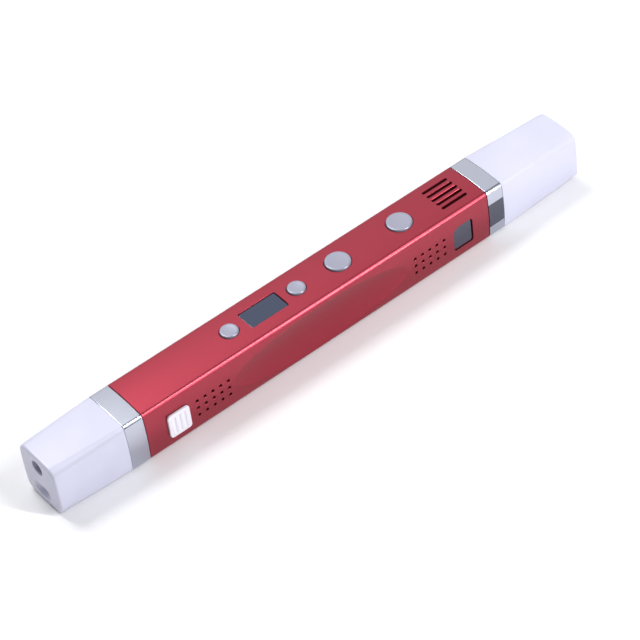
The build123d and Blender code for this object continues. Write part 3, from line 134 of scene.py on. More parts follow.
# ---- what a user can change --------------------------------------------------------------------------
class PenShape(bpy.types.PropertyGroup):
    crown: millimetres("Face crown", 0.45, "Rise of each long face in its middle")
    edge: millimetres("Edge radius", 1.0, "Radius of the tube's and rings' long edges")
    cap_edge: millimetres("Cap edge radius", 2.2, "Radius of the caps' long edges at their far ends")
    cap_end: millimetres("Cap end rounding", 0.8, "Rounding between a cap's sides and its end face")
    rear_taper: millimetres("Rear cap taper", 0.3, "Taken off each side of the rear cap at its end")
    front_taper: millimetres("Front cap taper", 0.45, "Taken off each side of the front cap at its end")
    wall: millimetres("Tube wall", 1.1, "Wall of the tube")
    inner_edge: millimetres("Tube inner radius", 0.5, "Corner radius inside the tube")
    cap_wall: millimetres("Cap wall", 1.2, "Wall of both caps")
    cap_end_wall: millimetres("Rear end wall", 2.4, "Thickness of the rear cap's end")
    cap_inner_edge: millimetres("Cap inner radius", 2.0, "Corner radius inside a cap at its far end")
    cap_mouth: millimetres("Cap mouth", 5.2, "Straight part of a cap's inside")
    cap_seam: millimetres("Cap seam", 0.06, "Fine gap between a cap and its ring")
    sleeve_wall: millimetres("Sleeve wall", 0.7, "Wall of the rings' sleeves")
    sleeve_gap: millimetres("Sleeve clearance", 0.05, "Between a sleeve and what it slides into")
    cap_sleeve: millimetres("Cap sleeve", 4.5, "Length of a ring's sleeve inside its cap")
    tube_sleeve: millimetres("Tube sleeve", 4.2, "Length of a ring's sleeve inside the tube")
    scoop_length: millimetres("Scoop length", 60.0, "Length of the finger scoop")
    scoop_centre: millimetres("Scoop centre", -3.0, "Middle of the scoop along the pen")
    scoop_depth: millimetres("Scoop depth", 1.4, "Depth of the scoop in its middle")
    scoop_height: millimetres("Scoop height", 15.8, "Upright size of the scoop on a flat face")
    scoop_row: millimetres("Scoop row", 8.05, "Middle of the scoop above the bottom face")
    rim: millimetres("Rim break", 0.12, "Small rounding where two parts of the casing meet")
    flare: millimetres("Opening flare", 0.1, "Small chamfer round every opening in the tube")
    inlay_top: millimetres("Inlay top", 12.2, "Upper end of the ring's black inlay above the bottom")
    inlay_bottom: millimetres("Inlay bottom", 4.3, "Lower end of the ring's black inlay above the bottom")
    inlay_depth: millimetres("Inlay depth", 0.8, "Depth of the recess for the inlay")
    inlay_gap: millimetres("Inlay gap", 0.03, "Gap round the inlay")
    side_steps: count("Side steps", 12, 2, 32, "Spans across each crowned face")
    corner_steps: count("Corner steps", 8, 2, 24, "Spans round each long edge")
    tube_steps: count("Tube steps", 30, 1, 80, "Spans along the tube")


class PenControls(bpy.types.PropertyGroup):
    button_gap: millimetres("Button gap", 0.15, "Gap round each button")
    button_lip: millimetres("Button flange lip", 0.55, "Flange of a button beyond its head")
    button_flange: millimetres("Button flange", 0.6, "Thickness of a button's flange")
    button_rounding: millimetres("Button rounding", 0.4, "Rounding of a button's rim")
    button_dish: millimetres("Button dish", 0.09, "Depth of the shallow dish in a button's face")
    button_rim: millimetres("Button rim", 0.35, "Flat rim round a button's dish")
    window_flange: millimetres("Window flange", 0.6, "Thickness of the display window's flange")
    window_gap: millimetres("Window gap", 0.08, "Gap round the display window")
    window_corner: millimetres("Window corner", 0.5, "Corner radius of the display opening")
    window_edge: millimetres("Window edge", 0.15, "Rounding round the lens's face")
    window_length: millimetres("Window length", 12.0, "Length of the display opening")
    window_width: millimetres("Window width", 6.6, "Width of the display opening")
    vent_centre: millimetres("Vent centre", 46.6, "Middle of the five slots along the pen")
    vent_length: millimetres("Vent length", 8.7, "Length of a slot")
    vent_width: millimetres("Vent width", 1.0, "Width of a slot")
    vent_pitch: millimetres("Vent pitch", 2.02, "Distance from slot to slot")
    vents: count("Vents", 5, 1, 9, "Number of slots")
    grid_rear: millimetres("Rear grid", -38.75, "Middle of the rear hole grid along the pen")
    grid_front: millimetres("Front grid", 33.9, "Middle of the front hole grid along the pen")
    grid_pitch: millimetres("Grid pitch", 2.5, "Distance from hole to hole")
    grid_hole: millimetres("Grid hole", 0.95, "Diameter of a grid hole")
    grid_columns: count("Columns", 5, 1, 12, "Holes along the pen")
    grid_rows: count("Rows", 3, 1, 6, "Holes across the side face")
    row_height: millimetres("Side row height", 7.85, "Height of the side controls above the bottom")
    slider_corner: millimetres("Slider corner", 1.0, "Corner radius of the thumb plate")
    slider_edge: millimetres("Slider edge", 0.2, "Rounding round the thumb plate's face")
    slider_groove: millimetres("Slider groove", 0.7, "Radius of each groove in the thumb plate")
    slider_pitch: millimetres("Groove pitch", 1.6, "Distance from groove to groove")
    slider_depth: millimetres("Groove depth", 0.2, "Depth of each groove")
    groove_end: millimetres("Groove end", 0.3, "Rounding at both ends of a groove")
    slider_plate: millimetres("Plate thickness", 0.6, "Thickness of the thumb plate")
    slider_stem: millimetres("Stem length", 2.0, "Length of the stem behind the plate")
    slider_stem_height: millimetres("Stem height", 2.2, "Height of the stem behind the plate")
    slider_travel: millimetres("Slider travel", 1.2, "Travel of the slider each way")
    slider_slot_gap: millimetres("Slot gap", 0.15, "Room round the stem at the ends of its travel")
    latch_length: millimetres("Latch length", 6.4, "Length of the side latch's face")
    latch_height: millimetres("Latch height", 7.7, "Height of the side latch's face")
    latch_gap: millimetres("Latch gap", 0.15, "Gap round the latch")
    latch_corner: millimetres("Latch corner", 0.8, "Radius of three of the latch's corners")
    latch_rear_corner: millimetres("Latch rear corner", 2.2, "Radius of the latch's rear top corner")
    latch_edge: millimetres("Latch edge", 0.25, "Rounding round the latch's face")
    latch_flange: millimetres("Latch flange", 0.7, "Thickness of the latch's flange")
    latch_lip: millimetres("Latch lip", 0.6, "Flange of the latch beyond its face")
    latch_tongue: millimetres("Latch tongue", 1.6, "Reach of the tongue behind the latch")
    latch_tongue_length: millimetres("Tongue length", 4.0, "Length of the tongue along the pen")
    latch_tongue_height: millimetres("Tongue height", 0.9, "Thickness of the tongue")
    socket_height: millimetres("Socket height", 12.7, "Height of the power socket above the bottom")
    socket_mouth: millimetres("Socket mouth", 2.2, "Radius of the socket's hole in the rear cap")
    inlet_height: millimetres("Inlet height", 4.3, "Height of the filament inlet above the bottom")
    inlet_width: millimetres("Inlet width", 7.4, "Width of the filament funnel")
    inlet_tall: millimetres("Inlet size upwards", 4.6, "Upright size of the filament funnel")
    inlet_depth: millimetres("Inlet depth", 1.6, "Depth of the filament funnel")
    inlet_throat: millimetres("Inlet throat", 1.2, "Radius of the filament hole")
    throat_length: millimetres("Throat length", 2.4, "Length of the filament hole")
    boss_radius: millimetres("Boss radius", 2.3, "Radius of the boss that holds the guide tube")
    boss_hold: millimetres("Boss hold", 2.0, "Length of the guide tube's end in the boss")
    tube_seat: millimetres("Tube seat", 1.55, "Radius of the guide tube's seat in the boss")


class PenFinish(bpy.types.PropertyGroup):
    red: tint("Anodised red", (0.36, 0.04, 0.062), "Colour of the tube")
    ring: tint("Ring", (0.50, 0.52, 0.60), "Colour of the plated rings")
    white: tint("Cap white", (0.61, 0.61, 0.75), "Colour of both caps")
    silver: tint("Button silver", (0.33, 0.335, 0.42), "Colour of the four buttons")
    slider: tint("Slider white", (0.80, 0.78, 0.86), "Colour of the thumb plate")
    black: tint("Gloss black", (0.035, 0.037, 0.065), "Colour of the inlay and the side latch")
    lens: tint("Lens", (0.026, 0.042, 0.095), "Colour of the display's lens")
    board: tint("Board", (0.02, 0.13, 0.06), "Colour of the circuit board")
    brass: tint("Brass", (0.72, 0.50, 0.20), "Colour of the gears")
    ceramic: tint("Ceramic", (0.86, 0.83, 0.76), "Colour of the nozzle tip")


class PenStage(bpy.types.PropertyGroup):
    heading: degrees_of("Heading", 33.077, "Turn of the view from straight at the side face")
    elevation: degrees_of("Elevation", 45.006, "Height of the view above the floor")
    roll: degrees_of("Roll", -8.313, "Turn of the camera about its own axis")
    eye: FloatVectorProperty(name="Eye", description="Place of the camera", size=3, subtype="XYZ",
                             unit="LENGTH", default=(-272.11 * MM, -420.44 * MM, 502.94 * MM))
    lens: FloatProperty(name="Lens", description="Focal length in millimetres on a 36 mm wide sensor",
                        default=151.3, min=10.0)
    floor: tint("Floor", (0.92, 0.92, 0.93), "Colour of the floor")
    sky: tint("Sky", (0.93, 0.94, 1.0), "Colour of the light all round")
    sky_strength: FloatProperty(name="Sky strength", description="Strength of the light all round",
                                default=0.25, min=0.0)
    key: watts("Edge light", 6.0, "Power of the light over the near edge")
    fill: watts("Overhead light", 9.0, "Power of the light overhead")
    back: watts("Back light", 4.0, "Power of the broad light behind the pen")


# ---- modelling helpers -------------------------------------------------------------------------------
def leave_edit():
    """Goes back to object mode with nothing selected."""
    if bpy.context.object and bpy.context.object.mode != "OBJECT":
        bpy.ops.object.mode_set(mode="OBJECT")
    bpy.ops.object.select_all(action="DESELECT")


def choose(piece):
    """Makes one piece the only selected and active one."""
    leave_edit()
    piece.select_set(True)
    bpy.context.view_layer.objects.active = piece
    return piece


def enter(piece):
    """Opens a piece in edit mode."""
    choose(piece)
    bpy.ops.object.mode_set(mode="EDIT")


def pick(piece, kind, test):
    """Selects the vertices, edges or faces of the open piece that pass a test."""
    bpy.ops.mesh.select_mode(type={"verts": "VERT", "edges": "EDGE", "faces": "FACE"}[kind])
    bpy.ops.mesh.select_all(action="DESELECT")
    mesh = bmesh.from_edit_mesh(piece.data)
    found = [element for element in getattr(mesh, kind) if test(element)]
    if not found:
        raise RuntimeError("nothing to select on " + piece.name)
    for element in found:
        element.select_set(True)
    mesh.select_flush_mode()
    bmesh.update_edit_mesh(piece.data)


def middle(edge):
    """Middle point of an edge."""
    return (edge.verts[0].co + edge.verts[1].co) / 2


def along(edge, axis):
    """True for an edge that runs along one axis, 0 for X, 1 for Y, 2 for Z."""
    run = (edge.verts[1].co - edge.verts[0].co).normalized()
    return abs(run[axis]) > 0.999


def near(value, goal, slack=0.01 * MM):
    """True for two lengths that are the same."""
    return abs(value - goal) < slack


def level(element, axis, value):
    """True for an edge or a face that lies at one height along an axis."""
    return all(near(vertex.co[axis], value) for vertex in element.verts)


def round_off(offset, segments):
    """Rounds the selected edges."""
    bpy.ops.mesh.bevel(offset=offset, segments=segments, affect="EDGES", profile=0.5)


def pull(move):
    """Extrudes the selected faces by a move."""
    bpy.ops.mesh.extrude_region_move(TRANSFORM_OT_translate={"value": move})


def in_place(piece, name):
    """Names a piece and moves its place, turn and size into its mesh."""
    choose(piece)
    bpy.ops.object.transform_apply(location=True, rotation=True, scale=True)
    piece.name = name
    piece.data.name = name
    return piece


def box_piece(name, low, high):
    """Box between two corners."""
    low, high = Vector(low), Vector(high)
    leave_edit()
    bpy.ops.mesh.primitive_cube_add(size=1, location=(low + high) / 2)
    bpy.context.object.scale = high - low
    return in_place(bpy.context.object, name)


def rod_piece(name, start, end, radius, around=48):
    """Round bar from one point to another."""
    start, end = Vector(start), Vector(end)
    run = end - start
    leave_edit()
    bpy.ops.mesh.primitive_cylinder_add(vertices=around, radius=radius, depth=run.length,
                                        location=(start + end) / 2,
                                        rotation=run.to_track_quat("Z", "Y").to_euler())
    return in_place(bpy.context.object, name)


def joined(name, pieces):
    """Joins several pieces into the first one."""
    leave_edit()
    for piece in pieces:
        piece.select_set(True)
    bpy.context.view_layer.objects.active = pieces[0]
    bpy.ops.object.join()
    return in_place(pieces[0], name)


def copied(piece, name, shift):
    """Copy of a piece with its own mesh, moved by a shift."""
    choose(piece)
    bpy.ops.object.duplicate(linked=False)
    bpy.ops.transform.translate(value=shift)
    return in_place(bpy.context.object, name)


def combine(piece, other, operation):
    """Cuts, keeps or adds another closed piece, which is used up."""
    choose(piece)
    modifier = piece.modifiers.new("combine", "BOOLEAN")
    modifier.operation = operation
    modifier.solver = "EXACT"
    modifier.object = other
    bpy.ops.object.modifier_apply(modifier=modifier.name)
    bpy.data.objects.remove(other)
    return piece


def finished(piece, body, slot, replaced, degrees=30):
    """Merges doubles, smooths, gives a piece its finish and lets it ride on its body."""
    enter(piece)
    bpy.ops.mesh.select_all(action="SELECT")
    bpy.ops.mesh.remove_doubles(threshold=WELD)
    bpy.ops.mesh.dissolve_degenerate(threshold=SAME)
    leave_edit()
    choose(piece)
    bpy.ops.object.shade_smooth_by_angle(angle=math.radians(degrees))
    modifier = piece.modifiers.new("even shading", "WEIGHTED_NORMAL")
    modifier.keep_sharp = True
    bpy.ops.object.modifier_apply(modifier=modifier.name)
    piece.data.materials.clear()
    piece.data.materials.append(slot_finish(slot))
    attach(piece, body)
    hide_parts(replaced)
    leave_edit()


def rim(x, inset, radius):
    """Crowned square outline with rounded corners at one station along the pen, as a loop of edges."""
    shape = bpy.context.scene.pen_shape
    half = Vector((0, HALF_Y - inset - shape.crown, HALF_Z - inset - shape.crown))
    leave_edit()
    bpy.ops.mesh.primitive_plane_add(size=2, location=(x, 0, MID_Z), rotation=(0, QUARTER, 0))
    bpy.context.object.scale = (half.z, half.y, 1)
    loop = in_place(bpy.context.object, "rim")
    enter(loop)
    bpy.ops.mesh.select_all(action="SELECT")
    bpy.ops.mesh.bevel(offset=radius, segments=shape.corner_steps, affect="VERTICES", profile=0.5)
    bpy.ops.mesh.select_mode(type="FACE")
    bpy.ops.mesh.select_all(action="SELECT")
    bpy.ops.mesh.delete(type="ONLY_FACE")
    pick(loop, "edges", lambda edge: edge.calc_length() > 2 * radius)
    bpy.ops.mesh.subdivide(number_cuts=shape.side_steps - 1)
    for axis, reach in ((2, half.y), (1, half.z)):
        for side in (-1, 1):
            goal = Vector((x, 0, MID_Z))
            goal[axis] += side * half[axis]
            pick(loop, "verts", lambda vertex: (vertex.co - goal).length < 0.05 * MM)
            move = Vector()
            move[axis] = side * shape.crown
            bpy.ops.transform.translate(value=move, use_proportional_edit=True,
                                        proportional_edit_falloff="INVERSE_SQUARE", proportional_size=reach)
    leave_edit()
    return loop


def crowned(name, stations, closed=False):
    """Skin over the outlines at several stations, each given as its place, inset and edge radius."""
    skin = rim(*stations[0])
    count = len(skin.data.vertices)
    for station in stations[1:]:
        skin = joined(name, [skin, rim(*station)])
    skin.name = name
    total = len(stations)
    enter(skin)
    for first in range(total if closed else total - 1):
        second = (first + 1) % total
        pick(skin, "verts", lambda vertex: vertex.index // count in (first, second))
        bpy.ops.mesh.select_mode(type="EDGE")
        if first and total > 2:
            keep_loops(skin, count, (first, second))
        bpy.ops.mesh.bridge_edge_loops()
    if not closed:
        for end in (0, total - 1):
            pick(skin, "verts", lambda vertex: vertex.index // count == end)
            bpy.ops.mesh.edge_face_add()
    bpy.ops.mesh.select_all(action="SELECT")
    bpy.ops.mesh.normals_make_consistent(inside=False)
    leave_edit()
    return skin


def keep_loops(skin, count, loops):
    """Leaves only the edges that lie within one of the two outlines selected."""
    pick(skin, "edges", lambda edge: edge.verts[0].index // count == edge.verts[1].index // count
         and edge.verts[0].index // count in loops)


def rim_break(x, way):
    """Stations of the small rounding of a rim at x; way is 1 towards +X."""
    shape = bpy.context.scene.pen_shape
    edge = shape.rim
    eased = EASE * edge
    return [(x, edge, shape.edge - edge), (x + way * eased, eased, shape.edge - eased)]


def rounded_end(x, way, taper, radius, rounding, steps=6):
    """Stations of a quarter round between a cap's sides and its end face at x; way is 1 towards +X."""
    stations = []
    for step in range(steps + 1):
        turn = QUARTER * step / steps
        drop = rounding * (1 - math.cos(turn))
        stations.append((x - way * rounding * (1 - math.sin(turn)), taper + drop, radius - drop))
    return stations


def opening(name, centre, half, corners, axis):
    """Cutter for a rounded opening through the top face, axis 2, or the near side face, axis 1.

    It is a little wider at the surface. half holds its two half sizes and corners its radius, or one radius
    for the corner at low X and high Z and one for the others."""
    across = 3 - axis
    side, surface = (1, TOP) if axis == 2 else (-1, -HALF_Y)
    flare = bpy.context.scene.pen_shape.flare
    low, high = Vector((centre[0] - half[0], 0, 0)), Vector((centre[0] + half[0], 0, 0))
    low[across], high[across] = centre[1] - half[1], centre[1] + half[1]
    low[axis], high[axis] = sorted((surface - side * CUT_DEPTH, surface - side * flare))
    cutter = box_piece(name, low, high)
    special, usual = corners if isinstance(corners, tuple) else (corners, corners)

    def is_special(edge):
        return middle(edge)[0] < centre[0] and middle(edge)[across] > centre[1]

    enter(cutter)
    steps = 12 if usual > 0.6 * MM else 5
    pick(cutter, "edges", lambda edge: along(edge, axis) and not is_special(edge))
    round_off(usual, steps)
    pick(cutter, "edges", lambda edge: along(edge, axis) and near(middle(edge)[0], low[0], SAME)
         and near(middle(edge)[across], high[across], SAME))
    round_off(special, steps)
    pick(cutter, "faces", lambda face: level(face, axis, surface - side * flare))
    up = Vector()
    up[axis] = side * flare
    pull(up)
    grow = Vector((1 + flare / half[0], 1, 1))
    grow[across] = 1 + flare / half[1]
    bpy.ops.transform.resize(value=grow)
    up[axis] = side * OVER
    pull(up)
    bpy.ops.mesh.select_all(action="SELECT")
    bpy.ops.mesh.remove_doubles(threshold=WELD)
    bpy.ops.mesh.normals_make_consistent(inside=False)
    leave_edit()
    return cutter


def scoop_cutter(grow):
    """Long spindle that hollows the side face, deepest in its middle."""
    shape = bpy.context.scene.pen_shape
    depth, half = shape.scoop_depth, shape.scoop_length / 2
    girth = ((shape.scoop_height / 2) ** 2 + depth ** 2) / (2 * depth)
    bow = (half ** 2 + depth ** 2) / (2 * depth)
    reach = math.sqrt(girth * bow)
    leave_edit()
    bpy.ops.mesh.primitive_uv_sphere_add(segments=360, ring_count=180, radius=1,
                                         rotation=(0, QUARTER, 0),
                                         location=(shape.scoop_centre, -HALF_Y + depth - girth,
                                                   BOTTOM + shape.scoop_row))
    ball = bpy.context.object
    ball.scale = (girth + grow, girth + grow, reach + grow)
    ball = in_place(ball, "scoop")
    enter(ball)
    bpy.ops.mesh.select_all(action="SELECT")
    bpy.ops.mesh.bisect(plane_co=(0, -HALF_Y - OVER, 0), plane_no=(0, 1, 0), use_fill=True, clear_inner=True)
    leave_edit()
    return ball


# ---- finishes ----------------------------------------------------------------------------------------
def surface_group():
    """Node group that varies a colour and a roughness over a surface and gives it a fine relief."""
    if "Pen surface" in bpy.data.node_groups:
        return bpy.data.node_groups["Pen surface"]
    group = bpy.data.node_groups.new("Pen surface", "ShaderNodeTree")
    for name, kind, default in (("Colour", "NodeSocketColor", (0.8, 0.8, 0.8, 1)),
                                ("Second Colour", "NodeSocketColor", (0.7, 0.7, 0.7, 1)),
                                ("Grain Scale", "NodeSocketFloat", 4000.0),
                                ("Patch Scale", "NodeSocketFloat", 60.0),
                                ("Stretch", "NodeSocketVector", (1, 1, 1)),
                                ("Roughness", "NodeSocketFloat", 0.4),
                                ("Spread", "NodeSocketFloat", 0.05)):
        socket = group.interface.new_socket(name=name, in_out="INPUT", socket_type=kind)
        socket.default_value = default
    for name, kind in (("Colour", "NodeSocketColor"), ("Roughness", "NodeSocketFloat"),
                       ("Height", "NodeSocketFloat")):
        group.interface.new_socket(name=name, in_out="OUTPUT", socket_type=kind)
    nodes, links = group.nodes, group.links
    start, end = nodes.new("NodeGroupInput"), nodes.new("NodeGroupOutput")
    place = nodes.new("ShaderNodeTexCoord")
    stretch = nodes.new("ShaderNodeVectorMath")
    stretch.operation = "MULTIPLY"
    links.new(place.outputs["Object"], stretch.inputs[0])
    links.new(start.outputs["Stretch"], stretch.inputs[1])
    grain, patch = nodes.new("ShaderNodeTexNoise"), nodes.new("ShaderNodeTexNoise")
    grain.inputs["Detail"].default_value = 3.0
    patch.inputs["Detail"].default_value = 4.0
    for texture, scale in ((grain, "Grain Scale"), (patch, "Patch Scale")):
        links.new(stretch.outputs[0], texture.inputs["Vector"])
        links.new(start.outputs[scale], texture.inputs["Scale"])
    mix = nodes.new("ShaderNodeMix")
    mix.data_type = "RGBA"
    shade = nodes.new("ShaderNodeMapRange")
    for socket, value in zip(("From Min", "From Max", "To Min", "To Max"), (0.3, 0.7, 0.0, 1.0)):
        shade.inputs[socket].default_value = value
    links.new(patch.outputs["Fac"], shade.inputs["Value"])
    links.new(shade.outputs["Result"], mix.inputs["Factor"])
    links.new(start.outputs["Colour"], mix.inputs["A"])
    links.new(start.outputs["Second Colour"], mix.inputs["B"])

    def maths(operation, *terms):
        """Output of a maths node over sockets and plain numbers."""
        node = nodes.new("ShaderNodeMath")
        node.operation = operation
        for term, socket in zip(terms, node.inputs):
            if isinstance(term, float):
                socket.default_value = term
            else:
                links.new(term, socket)
        return node.outputs[0]

    both = maths("ADD", patch.outputs["Fac"], grain.outputs["Fac"])
    about = maths("SUBTRACT", both, 1.0)
    rough = maths("MULTIPLY_ADD", about, start.outputs["Spread"], start.outputs["Roughness"])
    links.new(mix.outputs["Result"], end.inputs["Colour"])
    links.new(rough, end.inputs["Roughness"])
    links.new(grain.outputs["Fac"], end.inputs["Height"])
    return group


def finish(name, colour, rough, metal=0.0, second=None, grain=3000.0, patch=80.0, spread=0.08, relief=0.02,
           stretch=(1, 1, 1), coat=0.0, clear=0.0):
    """Material from the shared surface group; what is the same all over stands on the shader itself."""
    if name in bpy.data.materials and bpy.data.materials[name].get("pen_finish"):
        return bpy.data.materials[name]
    material = bpy.data.materials.new(name)
    material["pen_finish"] = True
    material.use_nodes = True
    nodes, links = material.node_tree.nodes, material.node_tree.links
    shader = nodes["Principled BSDF"]
    surface = nodes.new("ShaderNodeGroup")
    surface.node_tree = surface_group()
    second = second or [SECOND_SHADE * part for part in colour]
    for socket, value in (("Colour", (*colour, 1)), ("Second Colour", (*second, 1)), ("Grain Scale", grain),
                          ("Patch Scale", patch), ("Stretch", stretch), ("Roughness", rough),
                          ("Spread", spread)):
        surface.inputs[socket].default_value = value
    bump = nodes.new("ShaderNodeBump")
    bump.inputs["Strength"].default_value = 1.0
    bump.inputs["Distance"].default_value = relief * MM
    links.new(surface.outputs["Colour"], shader.inputs["Base Color"])
    links.new(surface.outputs["Roughness"], shader.inputs["Roughness"])
    links.new(surface.outputs["Height"], bump.inputs["Height"])
    links.new(bump.outputs["Normal"], shader.inputs["Normal"])
    for socket, value in (("Metallic", metal), ("Coat Weight", coat), ("Coat Roughness", COAT_ROUGHNESS),
                          ("Transmission Weight", clear)):
        shader.inputs[socket].default_value = value
    return material


def slot_finish(slot):
    """Material of one of the record's slots."""
    tone = bpy.context.scene.pen_finish
    made = {
        "anodised_red": dict(colour=tone.red, rough=0.33, metal=0.9, relief=0.004, grain=9000.0, spread=0.1,
                             patch=25.0, coat=0.12),
        "bright_ring": dict(colour=tone.ring, rough=0.2, metal=1.0, relief=0.002, stretch=(0.05, 1, 1),
                            spread=0.08),
        "black_inlay": dict(colour=tone.black, rough=0.2, coat=0.3, relief=0.002),
        "white_cap": dict(colour=tone.white, rough=0.36, relief=0.006, spread=0.1, coat=0.15),
        "display_lens": dict(colour=tone.lens, rough=0.06, relief=0.0005, coat=0.3, clear=0.2, spread=0.02),
        "button_silver": dict(colour=tone.silver, rough=0.34, metal=0.35, relief=0.003, coat=0.1),
        "slider_white": dict(colour=tone.slider, rough=0.38, relief=0.005),
        "latch_black": dict(colour=tone.black, rough=0.22, coat=0.25, relief=0.003),
        "spring_steel": dict(colour=(0.60, 0.60, 0.62), rough=0.25, metal=1.0, stretch=(1, 1, 0.2)),
        "board_green": dict(colour=tone.board, rough=0.45, second=(0.01, 0.09, 0.04), patch=600.0,
                            relief=0.01),
        "chip_black": dict(colour=(0.02, 0.02, 0.022), rough=0.55, relief=0.01),
        "switch_black": dict(colour=(0.035, 0.035, 0.04), rough=0.4, relief=0.008),
        "display_glass": dict(colour=(0.02, 0.03, 0.05), rough=0.08, coat=0.8, relief=0.0005),
        "foam_grey": dict(colour=(0.12, 0.12, 0.13), rough=0.9, relief=0.06, grain=5000.0,
                          second=(0.07, 0.07, 0.08)),
        "flex_amber": dict(colour=(0.55, 0.26, 0.05), rough=0.35, relief=0.004, coat=0.3),
        "socket_black": dict(colour=(0.025, 0.025, 0.028), rough=0.42, relief=0.006),
        "plated_contact": dict(colour=(0.80, 0.76, 0.66), rough=0.22, metal=1.0),
        "frame_grey": dict(colour=(0.16, 0.165, 0.18), rough=0.55, relief=0.012),
        "guide_tube_white": dict(colour=(0.80, 0.80, 0.78), rough=0.3, relief=0.003, clear=0.15),
        "motor_steel": dict(colour=(0.56, 0.56, 0.58), rough=0.3, metal=1.0, stretch=(0.1, 1, 1)),
        "gear_brass": dict(colour=tone.brass, rough=0.28, metal=1.0, second=(0.60, 0.40, 0.15), patch=200.0),
        "block_grey": dict(colour=(0.22, 0.225, 0.24), rough=0.5, relief=0.01),
        "holder_black": dict(colour=(0.04, 0.04, 0.045), rough=0.5, relief=0.012),
        "ceramic_white": dict(colour=tone.ceramic, rough=0.32, second=(0.80, 0.76, 0.68), patch=300.0,
                              coat=0.2, relief=0.004),
        "lead_insulation": dict(colour=(0.40, 0.03, 0.03), rough=0.45, relief=0.004),
    }
    return finish("pen " + slot.replace("_", " "), **made[slot])


# ---- pieces ------------------------------------------------------------------------------------------
class PEN_OT_tube(bpy.types.Operator):
    """Square red tube with its finger scoop and every opening"""
    bl_idname = "pen.tube"
    bl_label = "Tube"

    def execute(self, context):
        shape, controls = context.scene.pen_shape, context.scene.pen_controls
        start, end = TUBE_LOW.x, TUBE_HIGH.x
        edge = shape.rim
        stations = [(start, edge, shape.edge - edge)]
        for step in range(shape.tube_steps + 1):
            run = step / shape.tube_steps
            stations.append((start + edge + (end - start - 2 * edge) * run, 0, shape.edge))
        stations.append((end, edge, shape.edge - edge))
        tube = crowned("tube", stations)
        hollow = crowned("hollow", [(start - OVER, shape.wall, shape.inner_edge),
                                    (end + OVER, shape.wall, shape.inner_edge)])
        hollow = combine(hollow, scoop_cutter(shape.wall), "DIFFERENCE")
        tube = combine(tube, scoop_cutter(0), "DIFFERENCE")
        tube = combine(tube, hollow, "DIFFERENCE")
        tube = combine(tube, joined("openings", self.openings(controls)), "DIFFERENCE")
        finished(tube, "pen", "anodised_red", "body_shell")
        return {"FINISHED"}

    def openings(self, controls):
        """Cutters for the buttons, the display, the vents, the hole grids, the slider and the latch."""
        cutters = []
        for node in BUTTON_BODIES:
            low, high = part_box(node)
            radius = (high.x - low.x) / 2 - controls.button_lip + controls.button_gap
            place = ((low.x + high.x) / 2, 0)
            cutters.append(opening(node + " hole", place, (radius, radius), NEARLY * radius, 2))
        low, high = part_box("display_window")
        window = (controls.window_length / 2, controls.window_width / 2)
        cutters.append(opening("window hole", ((low.x + high.x) / 2, 0), window, controls.window_corner, 2))
        slot = (controls.vent_length / 2, controls.vent_width / 2)
        for index in range(controls.vents):
            place = (controls.vent_centre, (index - (controls.vents - 1) / 2) * controls.vent_pitch)
            cutters.append(opening("vent", place, slot, NEARLY * slot[1], 2))
        row = BOTTOM + controls.row_height
        hole = controls.grid_hole / 2
        first = opening("grid hole", (0, row), (hole, hole), NEARLY * hole, 1)
        for centre in (controls.grid_rear, controls.grid_front):
            for column in range(controls.grid_columns):
                for line in range(controls.grid_rows):
                    shift = (centre + (column - (controls.grid_columns - 1) / 2) * controls.grid_pitch, 0,
                             (line - (controls.grid_rows - 1) / 2) * controls.grid_pitch)
                    cutters.append(copied(first, "grid hole", shift))
        bpy.data.objects.remove(first)
        low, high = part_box("speed_slider")
        reach = controls.slider_stem / 2 + controls.slider_travel + controls.slider_slot_gap
        tall = controls.slider_stem_height / 2 + controls.slider_slot_gap
        cutters.append(box_piece("slider slot", ((low.x + high.x) / 2 - reach, -HALF_Y - OVER, row - tall),
                                 ((low.x + high.x) / 2 + reach, -HALF_Y + CUT_DEPTH, row + tall)))
        low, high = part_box("nozzle_release_latch")
        gap = controls.latch_gap
        cutters.append(opening("latch hole", ((low.x + high.x) / 2, row),
                               (controls.latch_length / 2 + gap, controls.latch_height / 2 + gap),
                               (controls.latch_rear_corner + gap, controls.latch_corner + gap), 1))
        return cutters


